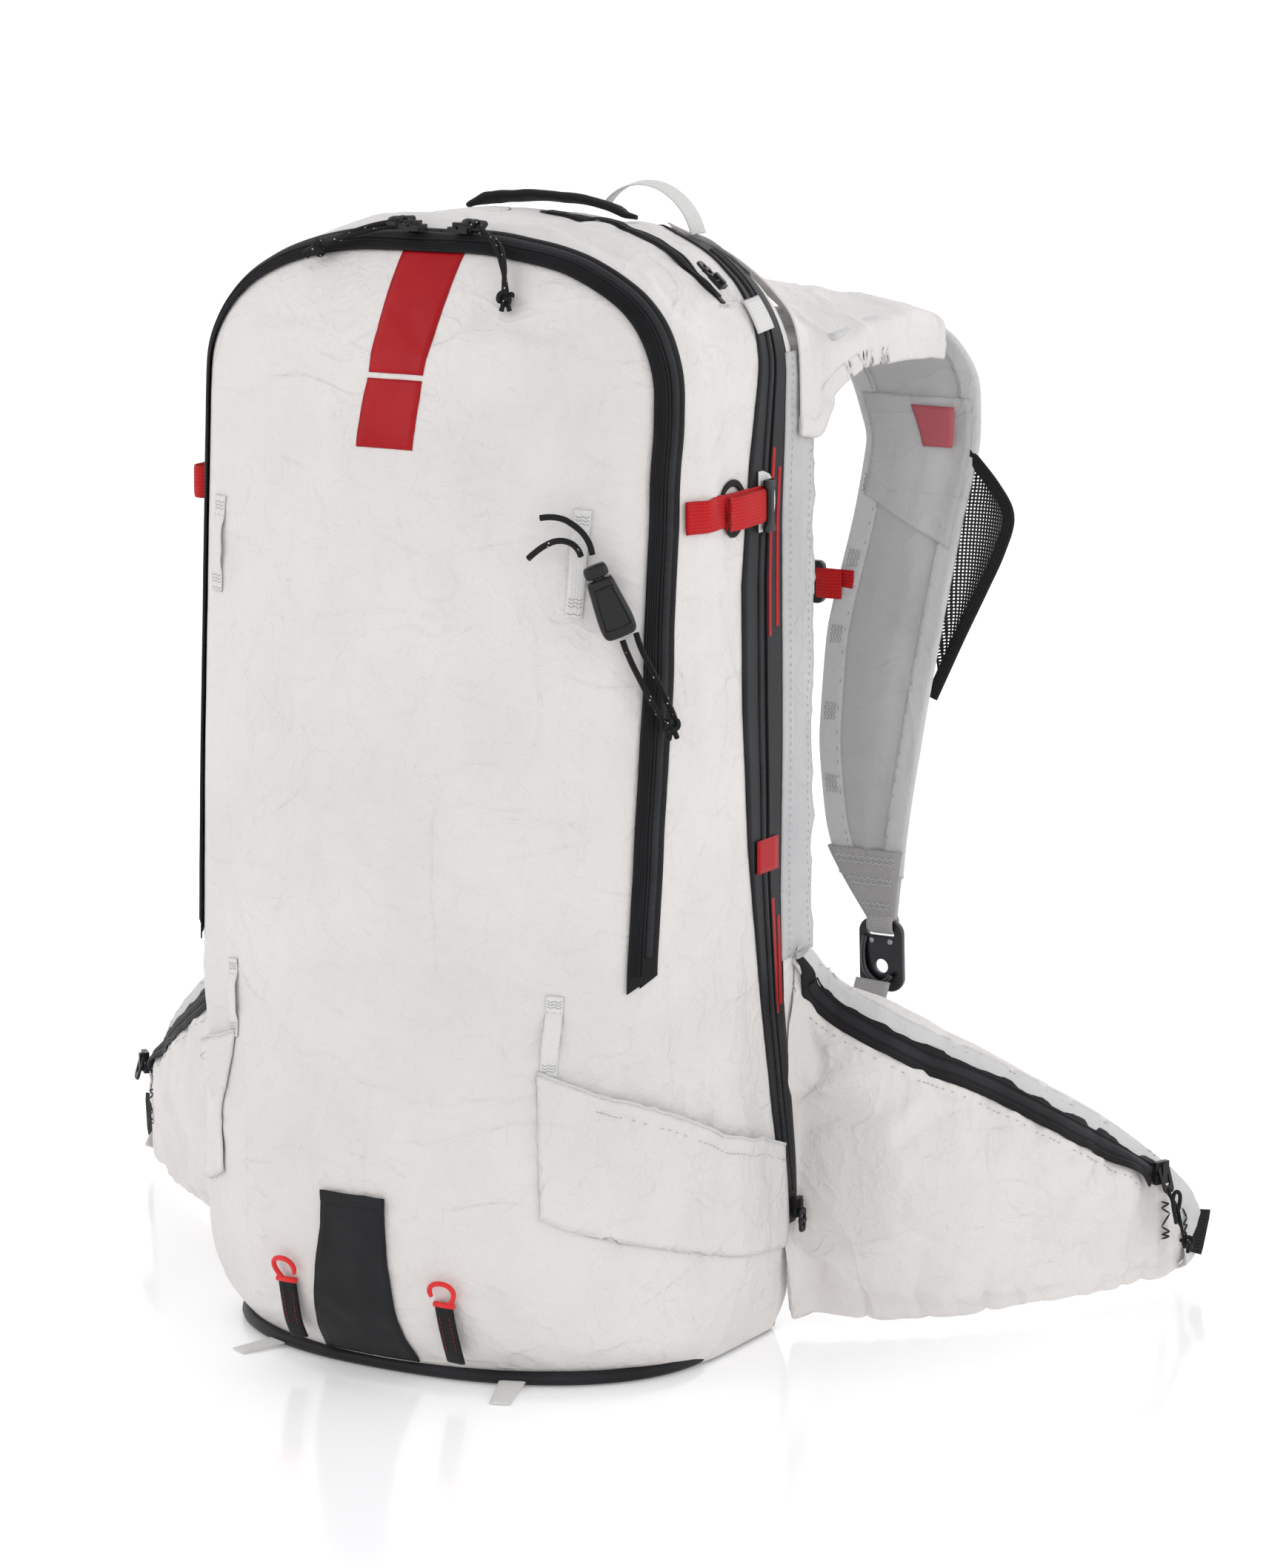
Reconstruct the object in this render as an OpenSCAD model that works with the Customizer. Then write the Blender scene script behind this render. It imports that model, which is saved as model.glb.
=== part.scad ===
// Avalanche airbag backpack. Front panel faces -Y, the wearer's side is +Y, up is +Z.
// The origin is the centre of the base, on the surface that the pack stands on.

/* [Bag] */
// Half of the bag's width at its widest
bag_half = 141; // [135:1:150]
// How far the back face lies behind the origin
bag_back = 88; // [84:1:92]
// Wall thickness of the bag body
wall = 2.5; // [2:0.1:3.5]
// Thickness of the base reinforcement
base_t = 1.5; // [1:0.1:2]

/* [Zips] */
// Width of one half of the main zip's tape
tape_w = 7; // [5:0.5:9]
// How far a tape stands out of the fabric
tape_t = 1.2; // [0.8:0.1:1.6]
// Gap between the flap and the bag
flap_gap = 0.8; // [0.6:0.1:1.2]
// Height of the flap's fold line
fold_z = 196; // [190:1:200]

/* [Harness] */
// How far the left hip wing lies open beyond the right one, in degrees
left_splay = 24; // [0:1:30]

/* [Webbing] */
// Width of the compression webbing
webbing_w = 16; // [12:1:18]
// Thickness of the webbing
webbing_t = 1.4; // [1:0.1:1.8]
// Diameter of the elastic cord and the zip pull cords
cord_d = 3; // [2.5:0.1:3.4]

/* [Airbag system] */
// Radius of the gas cartridge
cartridge_r = 20; // [16:1:22]
// Length of the cartridge's straight body
cartridge_l = 170; // [120:5:180]
// Diameter of the gas hose
hose_d = 7; // [5:0.5:8]

/* [Hidden] */

fabric = [0.93, 0.93, 0.92];
sheer = [0.82, 0.83, 0.84];
black = [0.08, 0.08, 0.09];
red = [0.8, 0.05, 0.08];
metal = [0.7, 0.7, 0.72];

// Level sections of the bag: height, inset of the half width, inset of the back, where the
// straight side ends, the front centre line, and how square the front curve is.
SECTIONS = [
    [1.5, 9, 6, 20, -80, 2.0], [20, 3, 1, 8, -93, 2.2], [60, 0, 0, 0, -104, 2.4],
    [110, 0, 0, 0, -107, 2.4], [300, 1, 0, 0, -97, 2.4], [460, 3, 0, -2, -76, 2.6],
    [500, 4, 0, -4, -62, 3.0], [520, 12, 1, -5, -55, 3.0], [535, 24, 3, -6, -47, 3.0],
    [548, 43, 6, -6, -38, 3.0], [558, 69, 10, -6, -28, 2.8], [568, 97, 18, -2, -10, 2.4]
];
TOP = len(SECTIONS) - 1;

// The seam plane between bag and flap leans back by this much per millimetre of height.
seam_y = -53;
seam_lean = 0.068;
wing_axis_x = 143;
wing_axis_y = 94;
strap_axis_y = bag_back + 22;
strap_axis_z = 506;

function rise(v, p) = pow(abs(v), p);
function front_curve(w, mid, front, n) = [
    for (a = [0:10:180])
        let (c = cos(a), s = sin(a))
        [-w * sign(c) * rise(c, 2 / n), mid - (mid - front) * rise(s, 2 / n)]
];
function bag_outline(s, g) =
    let (w = bag_half - s[1] + g, b = bag_back - s[2] + g)
    concat([[w, b - 8], [w - 8, b], [-w + 8, b], [-w, b - 8]], front_curve(w, s[3], s[4] - g, s[5]));

// The whole bag's outer form, grown outwards by g.
module bag_form(g) {
    hull()
        for (i = [0:TOP]) {
            s = SECTIONS[i];
            z = i == 0 ? s[0] - min(g, 0) : (i == TOP ? s[0] + g : s[0]);
            translate([0, 0, z]) linear_extrude(0.01) polygon(bag_outline(s, g));
        }
}

// A skin between two growths of the bag's form, where the children are.
module skin(low, high) {
    intersection() {
        difference() {
            bag_form(high);
            bag_form(low);
        }
        children();
    }
}

// An outline in the YZ plane, drawn out along X from x0 to x1.
module side_cut(points, x0, x1) {
    translate([x0, 0, 0]) rotate([90, 0, 90]) linear_extrude(x1 - x0) polygon(points);
}

// An outline in the XZ plane, drawn out along Y from y0 to y1.
module front_cut(points, y0, y1) {
    translate([0, y1, 0]) rotate([90, 0, 0]) linear_extrude(y1 - y0) polygon(points);
}

// A box between two corners.
module span(a, b) {
    translate(a) cube(b - a);
}

// The right side as drawn, the left side mirrored.
module on_side(side) {
    if (side == "left") mirror([1, 0, 0]) children();
    else children();
}

function seam(z) = seam_y + (z - fold_z) * seam_lean;
function seam_band(from, to, z0) = [
    [seam(z0) + from, z0], [seam(600) + from, 600], [seam(600) + to, 600], [seam(z0) + to, z0]
];

module flap_zone() {
    side_cut(seam_band(-250, 0, fold_z), -200, 200);
}

// ---------------------------------------------------------------- bag and flap

module bag_body() {
    color(fabric) difference() {
        bag_form(0);
        bag_form(-wall);
        flap_zone();
        for (x = [-100, 100]) translate([x, 80, 500]) rotate([-90, 0, 0]) cylinder(r = 5, h = 20, $fn = 32);
    }
}

module base_reinforcement() {
    color(black) {
        linear_extrude(base_t) polygon(bag_outline(SECTIONS[0], 0));
        skin(0, 1) side_cut([[-120, 0], [120, 0], [120, 9], [-120, 9]], -200, 200);
    }
}

module front_flap() {
    color(fabric) intersection() {
        difference() {
            bag_form(0);
            bag_form(-wall);
        }
        side_cut(seam_band(-250, -flap_gap, fold_z + flap_gap), -200, 200);
    }
}

module main_zip_bag_tape() {
    color(black) skin(0, tape_t) side_cut(seam_band(0, tape_w, fold_z + flap_gap), -200, 200);
}

module main_zip_flap_tape() {
    color(black) skin(0, tape_t)
        side_cut(seam_band(-flap_gap - tape_w, -flap_gap, fold_z + flap_gap), -200, 200);
}

// A zip slider's body with its bridge, on a surface at z = 0, pulling towards +X.
module slider(l, w, h) {
    color(black) difference() {
        union() {
            span([-l / 2, -w / 2, 0], [l / 2, w / 2, h * 0.6]);
            span([-l / 2 + 1, -w / 6, h * 0.6], [l / 2 - 1, w / 6, h]);
        }
        translate([0, w, h * 0.55]) rotate([90, 0, 0]) cylinder(r = h * 0.18, h = 2 * w, $fn = 24);
    }
}

module main_slider(x) {
    translate([x, -30, 561.5]) slider(11, 9, 5);
}

// ---------------------------------------------------------------- cords

// A cord swept along its points, each ring square to the cord's direction there.
function unit(v) = v / norm(v);
function heading(p, i) =
    unit((i < len(p) - 1 ? p[i + 1] : p[i]) - (i > 0 ? p[i - 1] : p[i]));
function across(t) = unit(cross(t, abs(t[2]) < 0.9 ? [0, 0, 1] : [1, 0, 0]));
function cord_rings(p, r, n) = [
    for (i = [0:len(p) - 1])
        let (t = heading(p, i), u = across(t), v = cross(t, u))
        for (k = [0:n - 1]) p[i] + r * (cos(360 * k / n) * u + sin(360 * k / n) * v)
];
function cord_faces(m, n) = concat(
    [[for (k = [n - 1:-1:0]) k]],
    [for (i = [0:m - 2], k = [0:n - 1])
        [i * n + k, i * n + (k + 1) % n, (i + 1) * n + k]],
    [for (i = [0:m - 2], k = [0:n - 1])
        [i * n + (k + 1) % n, (i + 1) * n + (k + 1) % n, (i + 1) * n + k]],
    [[for (k = [0:n - 1]) (m - 1) * n + k]]
);
module cord(points, d) {
    color(black) polyhedron(cord_rings(points, d / 2, 8), cord_faces(len(points), 8));
}

// Routes, from where each cord leaves its fitting to its end.
PULL_RIGHT = [
    [21, -30, 564], [25, -31, 563.6], [29, -33, 562.6], [33, -35, 561], [37, -37, 559],
    [40.5, -39.5, 556.5], [43.5, -42, 553.5], [46, -44.5, 550], [48, -46.5, 546],
    [49.5, -48.5, 542], [51, -50.5, 538], [52, -52, 534], [53, -53.5, 530]
];
PULL_LEFT = [
    [-21, -30, 564], [-25, -30.5, 564], [-29, -31.5, 563.4], [-33, -32.5, 562.6], [-37, -33.5, 561.6],
    [-41, -35, 560.4], [-45, -36.5, 559], [-49, -38, 557.4], [-53, -39.5, 555.6], [-57, -41, 553.6],
    [-61, -42, 551.6], [-65, -43, 549.6], [-68, -43.5, 548]
];
TAIL_UPPER = [
    [109, -67, 416], [108.5, -67.5, 419], [107.5, -68, 422], [106, -69, 425], [103.5, -70, 428],
    [100.5, -71.5, 430.5], [97, -72.5, 432.5], [93, -74, 433.5], [89, -75, 433.5], [85.5, -76, 433]
];
TAIL_LOWER = [
    [104, -69, 415], [103, -70, 418], [101, -71, 420.5], [98.5, -72.5, 422], [95.5, -74, 422.5],
    [92.5, -75.5, 422], [89.5, -77, 420.5], [86.5, -78, 418.5], [83.5, -79, 416], [81, -80, 413.5]
];
LEG_FRONT = [
    [121.4, -59.8, 374.6], [122.6, -59.3, 370.8], [124, -58.5, 367], [126, -57.5, 362], [128, -56, 357],
    [130, -54.5, 352], [132, -53, 347], [134, -51, 342], [136, -49, 337], [138, -47, 332]
];
LEG_BACK = [
    [126, -55, 378], [127.5, -54.5, 373], [129, -53, 368], [131, -51.5, 363], [133, -50, 358],
    [135, -48.5, 353], [136.5, -47, 348.5], [138, -45.5, 344], [139.5, -44, 339.5], [141.5, -43.5, 334]
];

PULL_WING = [
    [279, 229.5, 58], [280.6, 229.5, 55], [282, 230, 52], [283, 231, 49], [283.6, 232, 46],
    [284, 233, 43], [284.4, 234, 40], [284.8, 235.5, 37], [285.2, 237, 34], [285.6, 238.5, 31],
    [286, 240, 28], [286.4, 241.5, 25]
];

// The spring lock on the elastic cord, drawn upright and set down by lock_place.
module lock_place() {
    translate([116, -66, 396]) rotate([0, 0, 34]) rotate([0, -22, 0]) children();
}

module cord_lock() {
    color(black) lock_place() difference() {
        union() {
            span([-7.5, -4.5, -17], [7.5, 4.5, 9]);
            translate([0, 4.5, -12]) rotate([90, 0, 0]) cylinder(r = 8.5, h = 9, $fn = 40);
        }
        translate([0, 0, -6]) cylinder(r = 3.4, h = 20, $fn = 32);
    }
}

module cord_lock_button() {
    color(black) lock_place() {
        cylinder(r = 3.1, h = 12, $fn = 32);
        translate([0, 0, 12]) span([-6, -4, 0], [6, 4, 4]);
    }
}

// ---------------------------------------------------------------- airbag system

AIRBAG_STRIP = [
    [70, 58], [55, 120], [43, 180], [30, 260], [25, 330], [25, 390], [34, 450], [48, 505], [60, 540],
    [76, 540], [73, 490], [67, 420], [66, 307], [64, 232], [66, 175], [84, 58]
];

module airbag_zip(side) {
    color(black) on_side(side) skin(0, 1) side_cut(AIRBAG_STRIP, 40, 200);
}

module airbag_slider(side) {
    on_side(side) translate([142.6, 77.5, 66]) rotate([0, 90, 0]) slider(10, 7, 4);
}

module folded_airbags() {
    color("orangered") for (side = ["left", "right"]) on_side(side)
        linear_extrude_at(70, 440)
            polygon([[108, 34], [128, 30], [134, 36], [134, 70], [130, 76], [108, 76]]);
}

module linear_extrude_at(z0, z1) {
    translate([0, 0, z0]) linear_extrude(z1 - z0) children();
}

// The venturi draws air in through its mouth, on the inner side, and blows into the airbag below.
module venturi(side) {
    color(metal) on_side(side) translate([117, 55, 441]) difference() {
        union() {
            cylinder(r = 15, h = 34, $fn = 64);
            translate([0, 0, 34]) cylinder(r = 17, h = 6, $fn = 64);
        }
        translate([0, 0, 4]) cylinder(r = 12, h = 60, $fn = 64);
        translate([-20, 0, 22]) rotate([0, 90, 0]) cylinder(r = hose_d / 2, h = 12, $fn = 32);
    }
}

valve_x = -62;
valve_y = 55;
valve_z = 446;
module valve_block() {
    color(metal) translate([valve_x, valve_y, valve_z]) difference() {
        union() {
            span([-18, -14, 0], [18, 14, 34]);
            span([-4, -10, 34], [-2.5, 10, 48]);
            span([2.5, -10, 34], [4, 10, 48]);
        }
        translate([0, 0, -1]) cylinder(r = 9.05, h = 19, $fn = 48);
        translate([-10, 0, 43]) rotate([0, 90, 0]) cylinder(r = 2.05, h = 20, $fn = 32);
        translate([0, 0, 10]) cylinder(r = 3, h = 30, $fn = 32);
    }
}

module firing_lever() {
    color("silver") translate([valve_x, valve_y, valve_z]) {
        translate([-5, 0, 43]) rotate([0, 90, 0]) cylinder(r = 2, h = 10, $fn = 32);
        difference() {
            span([-1.9, -4, 38], [1.9, 21, 46]);
            translate([-10, 17, 42]) rotate([0, 90, 0]) cylinder(r = 1.5, h = 20, $fn = 24);
        }
    }
}

// The cartridge hangs from the valve by its threaded neck.
module gas_cartridge() {
    color("gray") translate([valve_x, valve_y, valve_z]) {
        translate([0, 0, -10]) cylinder(r = 9, h = 26, $fn = 48);
        translate([0, 0, -10 - cartridge_l]) cylinder(r = cartridge_r, h = cartridge_l - 14, $fn = 64);
        translate([0, 0, -24]) cylinder(r1 = cartridge_r, r2 = 9, h = 14, $fn = 64);
        translate([0, 0, -10 - cartridge_l]) sphere(r = cartridge_r, $fn = 64);
    }
}

// One hose to each venturi, from the two ends of the valve block.
module gas_hoses() {
    for (x = [[-102, valve_x - 18], [valve_x + 18, 102]])
        color(black) translate([x[0], valve_y, valve_z + 17]) rotate([0, 90, 0])
            cylinder(r = hose_d / 2, h = x[1] - x[0], $fn = 32);
}

module trigger_cable() {
    color(black) {
        translate([-100, 74, 500]) rotate([-90, 0, 0]) cylinder(r = 2.4, h = 32, $fn = 32);
        translate([-100, 74, 500]) sphere(r = 2.4, $fn = 32);
        translate([-100, 74, 500]) rotate([0, 90, 0]) cylinder(r = 2.4, h = 30, $fn = 32);
    }
}

module frame_sheet() {
    color("dimgray") span([-112, 80, 40], [112, 82, 490]);
}

module frame_stays() {
    color(metal) for (x = [-60, 60]) translate([x, 83.7, 64]) cylinder(r = 1.6, h = 424, $fn = 32);
}

module back_panel() {
    color(sheer) linear_extrude_at(30, 488) polygon([
        [-132, bag_back], [-132, bag_back + 12], [-122, bag_back + 20], [-30, bag_back + 20],
        [-18, bag_back + 12], [18, bag_back + 12], [30, bag_back + 20], [122, bag_back + 20],
        [132, bag_back + 12], [132, bag_back]
    ]);
}

// ---------------------------------------------------------------- webbing and small parts

module compression_straps() {
    color(red) skin(1.2, 1.2 + webbing_t) for (side = ["left", "right"]) on_side(side)
        span([60, -24, 430 - webbing_w / 2], [200, 40, 430 + webbing_w / 2]);
}

module compression_hook(side) {
    color(black) on_side(side) translate([140.6, 46, 428]) difference() {
        union() {
            span([0, -5, -12], [3.4, 5, 12]);
            translate([1.7, 4, -12]) cylinder(r = 2.2, h = 24, $fn = 32);
        }
        span([-1, -3, -9], [5, -1, 9]);
    }
}

module pocket_zip() {
    color(black) skin(0, 0.9) front_cut([[50, 520], [132, 520], [132, 580], [50, 580]], 33, 41);
}

module pocket_slider() {
    translate([118, 37, 536.5]) rotate([0, 42, 0]) slider(9, 6, 4);
}

module grab_handle() {
    color(black) skin(1, 3) span([-40, 56, 545], [48, 72, 600]);
}

// The loop turns about the line through its two feet.
haul_axis = [56, 81, 563.5];
haul_tilt = 14;
module haul_loop() {
    color(fabric) translate(haul_axis) rotate([0, haul_tilt, 0]) translate([0, 4.5, 0]) rotate([90, 0, 0])
        linear_extrude(9) intersection() {
            translate([0, -12]) difference() {
                circle(r = 28, $fn = 72);
                circle(r = 26.8, $fn = 72);
            }
            translate([-30, 0]) square([60, 30]);
        }
}

module axe_sleeve() {
    color(black) skin(1, 2.2) front_cut([[-20, 97], [16, 97], [18, 10], [-36, 10]], -200, 0);
}

// A short webbing tongue with a wire hook on its end, hinged at its sewn foot.
axe_foot_y = -93;
axe_foot_z = 14;
module axe_loop(side) {
    on_side(side) translate([46, axe_foot_y, axe_foot_z]) rotate([19, 0, 0]) {
        color(black) span([-5, -0.9, 0], [5, 0.9, 34]);
        color(red) translate([0, 0, 40]) rotate([90, 0, 0]) rotate_extrude($fn = 48)
            translate([6, 0]) circle(r = 1.3, $fn = 24);
    }
}

// The lower pair of tape loops, which take the ice axe's head.
module tool_loops() {
    color(fabric) skin(0, 0.8) for (x = [-92, 92]) span([x - 4, -200, 160], [x + 4, 0, 194]);
}

// The upper pair, on the flap, which take the axe's shaft.
module shaft_loops() {
    color(fabric) skin(0, 0.8) for (x = [-98, 98]) span([x - 4, -200, 384], [x + 4, 0, 436]);
}

// ---------------------------------------------------------------- harness

module yoke_panel() {
    color(sheer) difference() {
        side_cut([[88.6, 489], [108, 489], [108, 506], [88.6, 508]], -138, 138);
        translate([-100, 80, 500]) rotate([-90, 0, 0]) cylinder(r = 2.8, h = 40, $fn = 32);
    }
}

// The strap's side view: over the shoulder and down to the hook.
STRAP_TOP = [
    [strap_axis_y, 512], [150, 517], [190, 514], [214, 506], [228, 492], [233, 472], [230, 440],
    [224, 400], [208, 340], [199, 283], [200, 240], [203, 212]
];
STRAP_UNDER = [
    [195, 212], [192, 240], [191, 283], [200, 340], [215, 400], [221, 440], [224, 470], [219, 486],
    [207, 498], [188, 506], [150, 508], [strap_axis_y, 503]
];
STRAP_FRONT = [
    [70, 480], [76, 540], [142, 540], [146, 500], [168, 470], [168, 430], [164, 395], [160, 283],
    [141, 218], [138, 205], [102, 205], [99, 218], [100, 283], [100, 395], [98, 440], [84, 470]
];

module shoulder_strap(side) {
    color(sheer) on_side(side) intersection() {
        side_cut(concat(STRAP_TOP, STRAP_UNDER), 50, 180);
        front_cut(STRAP_FRONT, 100, 260);
    }
}

hook_x = 119;
hook_y = 199.5;
module strap_hook(side) {
    color(metal) on_side(side) translate([hook_x, hook_y, 0]) difference() {
        union() {
            span([-13, -3, 164], [13, 3, 203]);
            translate([-13, 0, 200]) rotate([0, 90, 0]) cylinder(r = 3.4, h = 26, $fn = 40);
        }
        span([-9, -10, 190], [9, 10, 196]);
        translate([4, 10, 176]) rotate([90, 0, 0]) cylinder(r = 4, h = 20, $fn = 32);
    }
}

module lower_straps() {
    color(black) for (side = ["left", "right"]) on_side(side)
        side_cut([[108.6, 56], [110.4, 56], [200.6, 150], [200.6, 161], [198.8, 161], [198.8, 150.8]],
            hook_x - 10, hook_x + 10);
}

// Each half of the chest strap: a short piece of webbing with its half of the buckle.
module chest_strap(side) {
    on_side(side) {
        color(red) span([84, 208, 356], [100, 209.6, 371]);
        color(black) span([66, 205.5, 353], [84, 212.5, 374]);
    }
}

module trigger_handle() {
    color(red) translate([-130, 0, 0]) {
        translate([0, 217, 270]) cylinder(r = 6, h = 52, $fn = 48);
        translate([0, 217, 270]) sphere(r = 6, $fn = 48);
        translate([-16, 217, 327]) rotate([0, 90, 0]) cylinder(r = 7, h = 32, $fn = 48);
    }
}

// The hip wing in plan, from its root to its tip.
WING_OUTER = [
    [149, 85], [158, 84], [187, 93], [216, 120], [242, 158], [262, 203], [277, 248], [282, 266]
];
WING_INNER = [
    [274, 272], [258, 250], [238, 208], [215, 168], [190, 138], [168, 119], [148, 106]
];
WING_SIDE = [
    [70, 4], [70, 203], [84, 201], [93, 178], [120, 155], [157, 129], [201, 100], [234, 74],
    [256, 58], [268, 44], [273, 30], [272, 14], [262, 4]
];
WING_ZIP = [
    [80, 194], [92, 170], [108, 150], [131, 135], [163, 113], [200, 90], [226, 73], [226, 62],
    [200, 78], [163, 101], [131, 122], [108, 138], [92, 155], [80, 178]
];
function side_of(p, i, d) =
    let (t = unit((i < len(p) - 1 ? p[i + 1] : p[i]) - (i > 0 ? p[i - 1] : p[i])))
    p[i] + d * [t[1], -t[0]];
function moved(p, d) = [for (i = [0:len(p) - 1]) side_of(p, i, d)];
function backwards(p) = [for (i = [len(p) - 1:-1:0]) p[i]];

module wing_place(side) {
    if (side == "left")
        translate([-wing_axis_x, wing_axis_y, 0]) rotate([0, 0, left_splay])
            translate([wing_axis_x, -wing_axis_y, 0]) mirror([1, 0, 0]) children();
    else children();
}

module hip_wing(side) {
    color(fabric) wing_place(side) intersection() {
        linear_extrude_at(0, 210) polygon(concat(WING_OUTER, WING_INNER));
        side_cut(WING_SIDE, 130, 300);
    }
}

module wing_zip(side) {
    color(black) wing_place(side) intersection() {
        linear_extrude_at(0, 210) polygon(concat(moved(WING_OUTER, 1.2), backwards(WING_OUTER)));
        side_cut(WING_ZIP, 130, 300);
    }
}

module wing_slider(side) {
    wing_place(side) translate([273.6, 231, 66]) rotate([0, 0, -22]) rotate([0, 90, 0]) slider(12, 9, 5);
}

// The end of the hip webbing with its half of the buckle, past the wing's tip.
module hip_buckle(side) {
    color(black) wing_place(side) translate([280.6, 270.5, 24]) rotate([0, 0, -14]) {
        span([-1, 0, -12], [1, 10, 12]);
        span([-4, 10, -14], [4, 19, 14]);
    }
}

bag_body();
base_reinforcement();
back_panel();
frame_sheet();
frame_stays();
front_flap();
main_zip_bag_tape();
main_zip_flap_tape();
main_slider(-14);  // main_slider_left
main_slider(14);  // main_slider_right
cord(PULL_LEFT, cord_d * 1.4);  // pull_cord_left
cord(PULL_RIGHT, cord_d * 1.4);  // pull_cord_right
airbag_zip("left");  // airbag_zip_left
airbag_zip("right");  // airbag_zip_right
airbag_slider("left");  // airbag_slider_left
airbag_slider("right");  // airbag_slider_right
folded_airbags();
venturi("left");  // venturi_left
venturi("right");  // venturi_right
gas_hoses();
valve_block();
firing_lever();
gas_cartridge();
trigger_cable();
compression_straps();
compression_hook("left");  // compression_hook_left
compression_hook("right");  // compression_hook_right
pocket_zip();
pocket_slider();
grab_handle();
haul_loop();
axe_sleeve();
axe_loop("left");  // axe_loop_left
axe_loop("right");  // axe_loop_right
tool_loops();
shaft_loops();
cord_lock();
cord_lock_button();
cord(TAIL_UPPER, cord_d);  // elastic_tail_upper
cord(TAIL_LOWER, cord_d);  // elastic_tail_lower
cord(LEG_FRONT, cord_d);  // elastic_leg_front
cord(LEG_BACK, cord_d);  // elastic_leg_back
yoke_panel();
shoulder_strap("left");  // shoulder_strap_left
shoulder_strap("right");  // shoulder_strap_right
strap_hook("left");  // strap_hook_left
strap_hook("right");  // strap_hook_right
lower_straps();
chest_strap("left");  // chest_strap_left
chest_strap("right");  // chest_strap_right
trigger_handle();
hip_wing("left");  // hip_wing_left
hip_wing("right");  // hip_wing_right
wing_zip("left");  // wing_zip_left
wing_zip("right");  // wing_zip_right
wing_slider("left");  // wing_slider_left
wing_slider("right");  // wing_slider_right
cord(PULL_WING, cord_d * 1.4);  // pull_cord_wing
hip_buckle("left");  // hip_buckle_left
hip_buckle("right");  // hip_buckle_right
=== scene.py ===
# The looks of the avalanche airbag backpack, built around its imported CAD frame.
# Lengths are metres. The front panel faces -Y, the wearer's side is +Y and up is +Z.
import math

import bmesh
import bpy
import numpy as np
from mathutils import Matrix, Vector, noise
from mathutils.bvhtree import BVHTree


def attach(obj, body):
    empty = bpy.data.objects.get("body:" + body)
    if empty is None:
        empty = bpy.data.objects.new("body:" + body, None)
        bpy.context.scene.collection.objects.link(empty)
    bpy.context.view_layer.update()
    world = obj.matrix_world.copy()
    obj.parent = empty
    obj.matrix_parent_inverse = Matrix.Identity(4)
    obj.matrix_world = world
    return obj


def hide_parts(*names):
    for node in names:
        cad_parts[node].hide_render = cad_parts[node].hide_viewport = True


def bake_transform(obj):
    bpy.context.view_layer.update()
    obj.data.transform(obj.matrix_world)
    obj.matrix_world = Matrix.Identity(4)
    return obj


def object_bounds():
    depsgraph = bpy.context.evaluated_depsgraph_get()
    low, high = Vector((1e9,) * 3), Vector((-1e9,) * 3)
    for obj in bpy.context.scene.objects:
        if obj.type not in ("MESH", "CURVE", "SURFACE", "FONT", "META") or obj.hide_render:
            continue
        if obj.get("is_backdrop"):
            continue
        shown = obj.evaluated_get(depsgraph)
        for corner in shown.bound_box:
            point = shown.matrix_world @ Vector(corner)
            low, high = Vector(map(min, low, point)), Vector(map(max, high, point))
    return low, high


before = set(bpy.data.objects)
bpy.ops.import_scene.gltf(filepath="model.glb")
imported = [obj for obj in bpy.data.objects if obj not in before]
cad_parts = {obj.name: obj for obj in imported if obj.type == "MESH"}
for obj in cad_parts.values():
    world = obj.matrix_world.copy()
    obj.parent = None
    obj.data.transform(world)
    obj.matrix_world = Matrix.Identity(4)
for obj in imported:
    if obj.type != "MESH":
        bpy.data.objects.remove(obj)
cad_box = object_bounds()
MM = 0.001


# ---------------------------------------------------------------- small tools

def arr(points):
    return np.array(points, float)


def unit(v):
    v = arr(v)
    return v / max(np.linalg.norm(v), 1e-12)


def mm(*points):
    """Points given in millimetres, as metres."""
    return arr(points) * MM


def curve_through(points, count, closed=False):
    """A smooth Catmull-Rom curve through the points, evenly sampled."""
    p = arr(points)
    n = len(p)
    ext = np.vstack([p[-1:], p, p[:2]]) if closed else np.vstack([2 * p[0] - p[1], p, 2 * p[-1] - p[-2]])
    spans = n if closed else n - 1
    out = []
    for i in range(spans):
        a, b, c, d = ext[i], ext[i + 1], ext[i + 2], ext[i + 3]
        for t in np.linspace(0, 1, 24, endpoint=False):
            out.append(0.5 * (2 * b + (c - a) * t + (2 * a - 5 * b + 4 * c - d) * t * t
                              + (3 * b - a - 3 * c + d) * t ** 3))
    out.append(p[0] if closed else p[-1])
    return resample(arr(out), count)


def resample(points, count):
    p = arr(points)
    s = np.concatenate([[0], np.cumsum(np.linalg.norm(np.diff(p, axis=0), axis=1))])
    t = np.linspace(0, s[-1], count)
    return np.stack([np.interp(t, s, p[:, k]) for k in range(p.shape[1])], axis=1)


def length_of(points):
    return float(np.linalg.norm(np.diff(arr(points), axis=0), axis=1).sum())


def tangents(points):
    t = np.gradient(arr(points), axis=0)
    return t / np.maximum(np.linalg.norm(t, axis=1, keepdims=True), 1e-12)


def smooth_rows(a, width):
    k = np.hanning(width + 2)[1:-1]
    k /= k.sum()
    pad = width // 2
    return np.convolve(np.pad(a, pad, mode="edge"), k, mode="valid")[:len(a)]


def ridges(p, scale, seed, sharp=3.0):
    """Thin crease lines in 0 to 1, where a smooth noise crosses zero."""
    return (1.0 - min(1.0, abs(noise.noise(Vector(p) * scale + Vector((seed, seed * 1.7, -seed)))) * 2.2)) ** sharp


def swell(p, scale, seed):
    return noise.noise(Vector(p) * scale + Vector((-seed, seed * 0.6, seed)))


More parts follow.
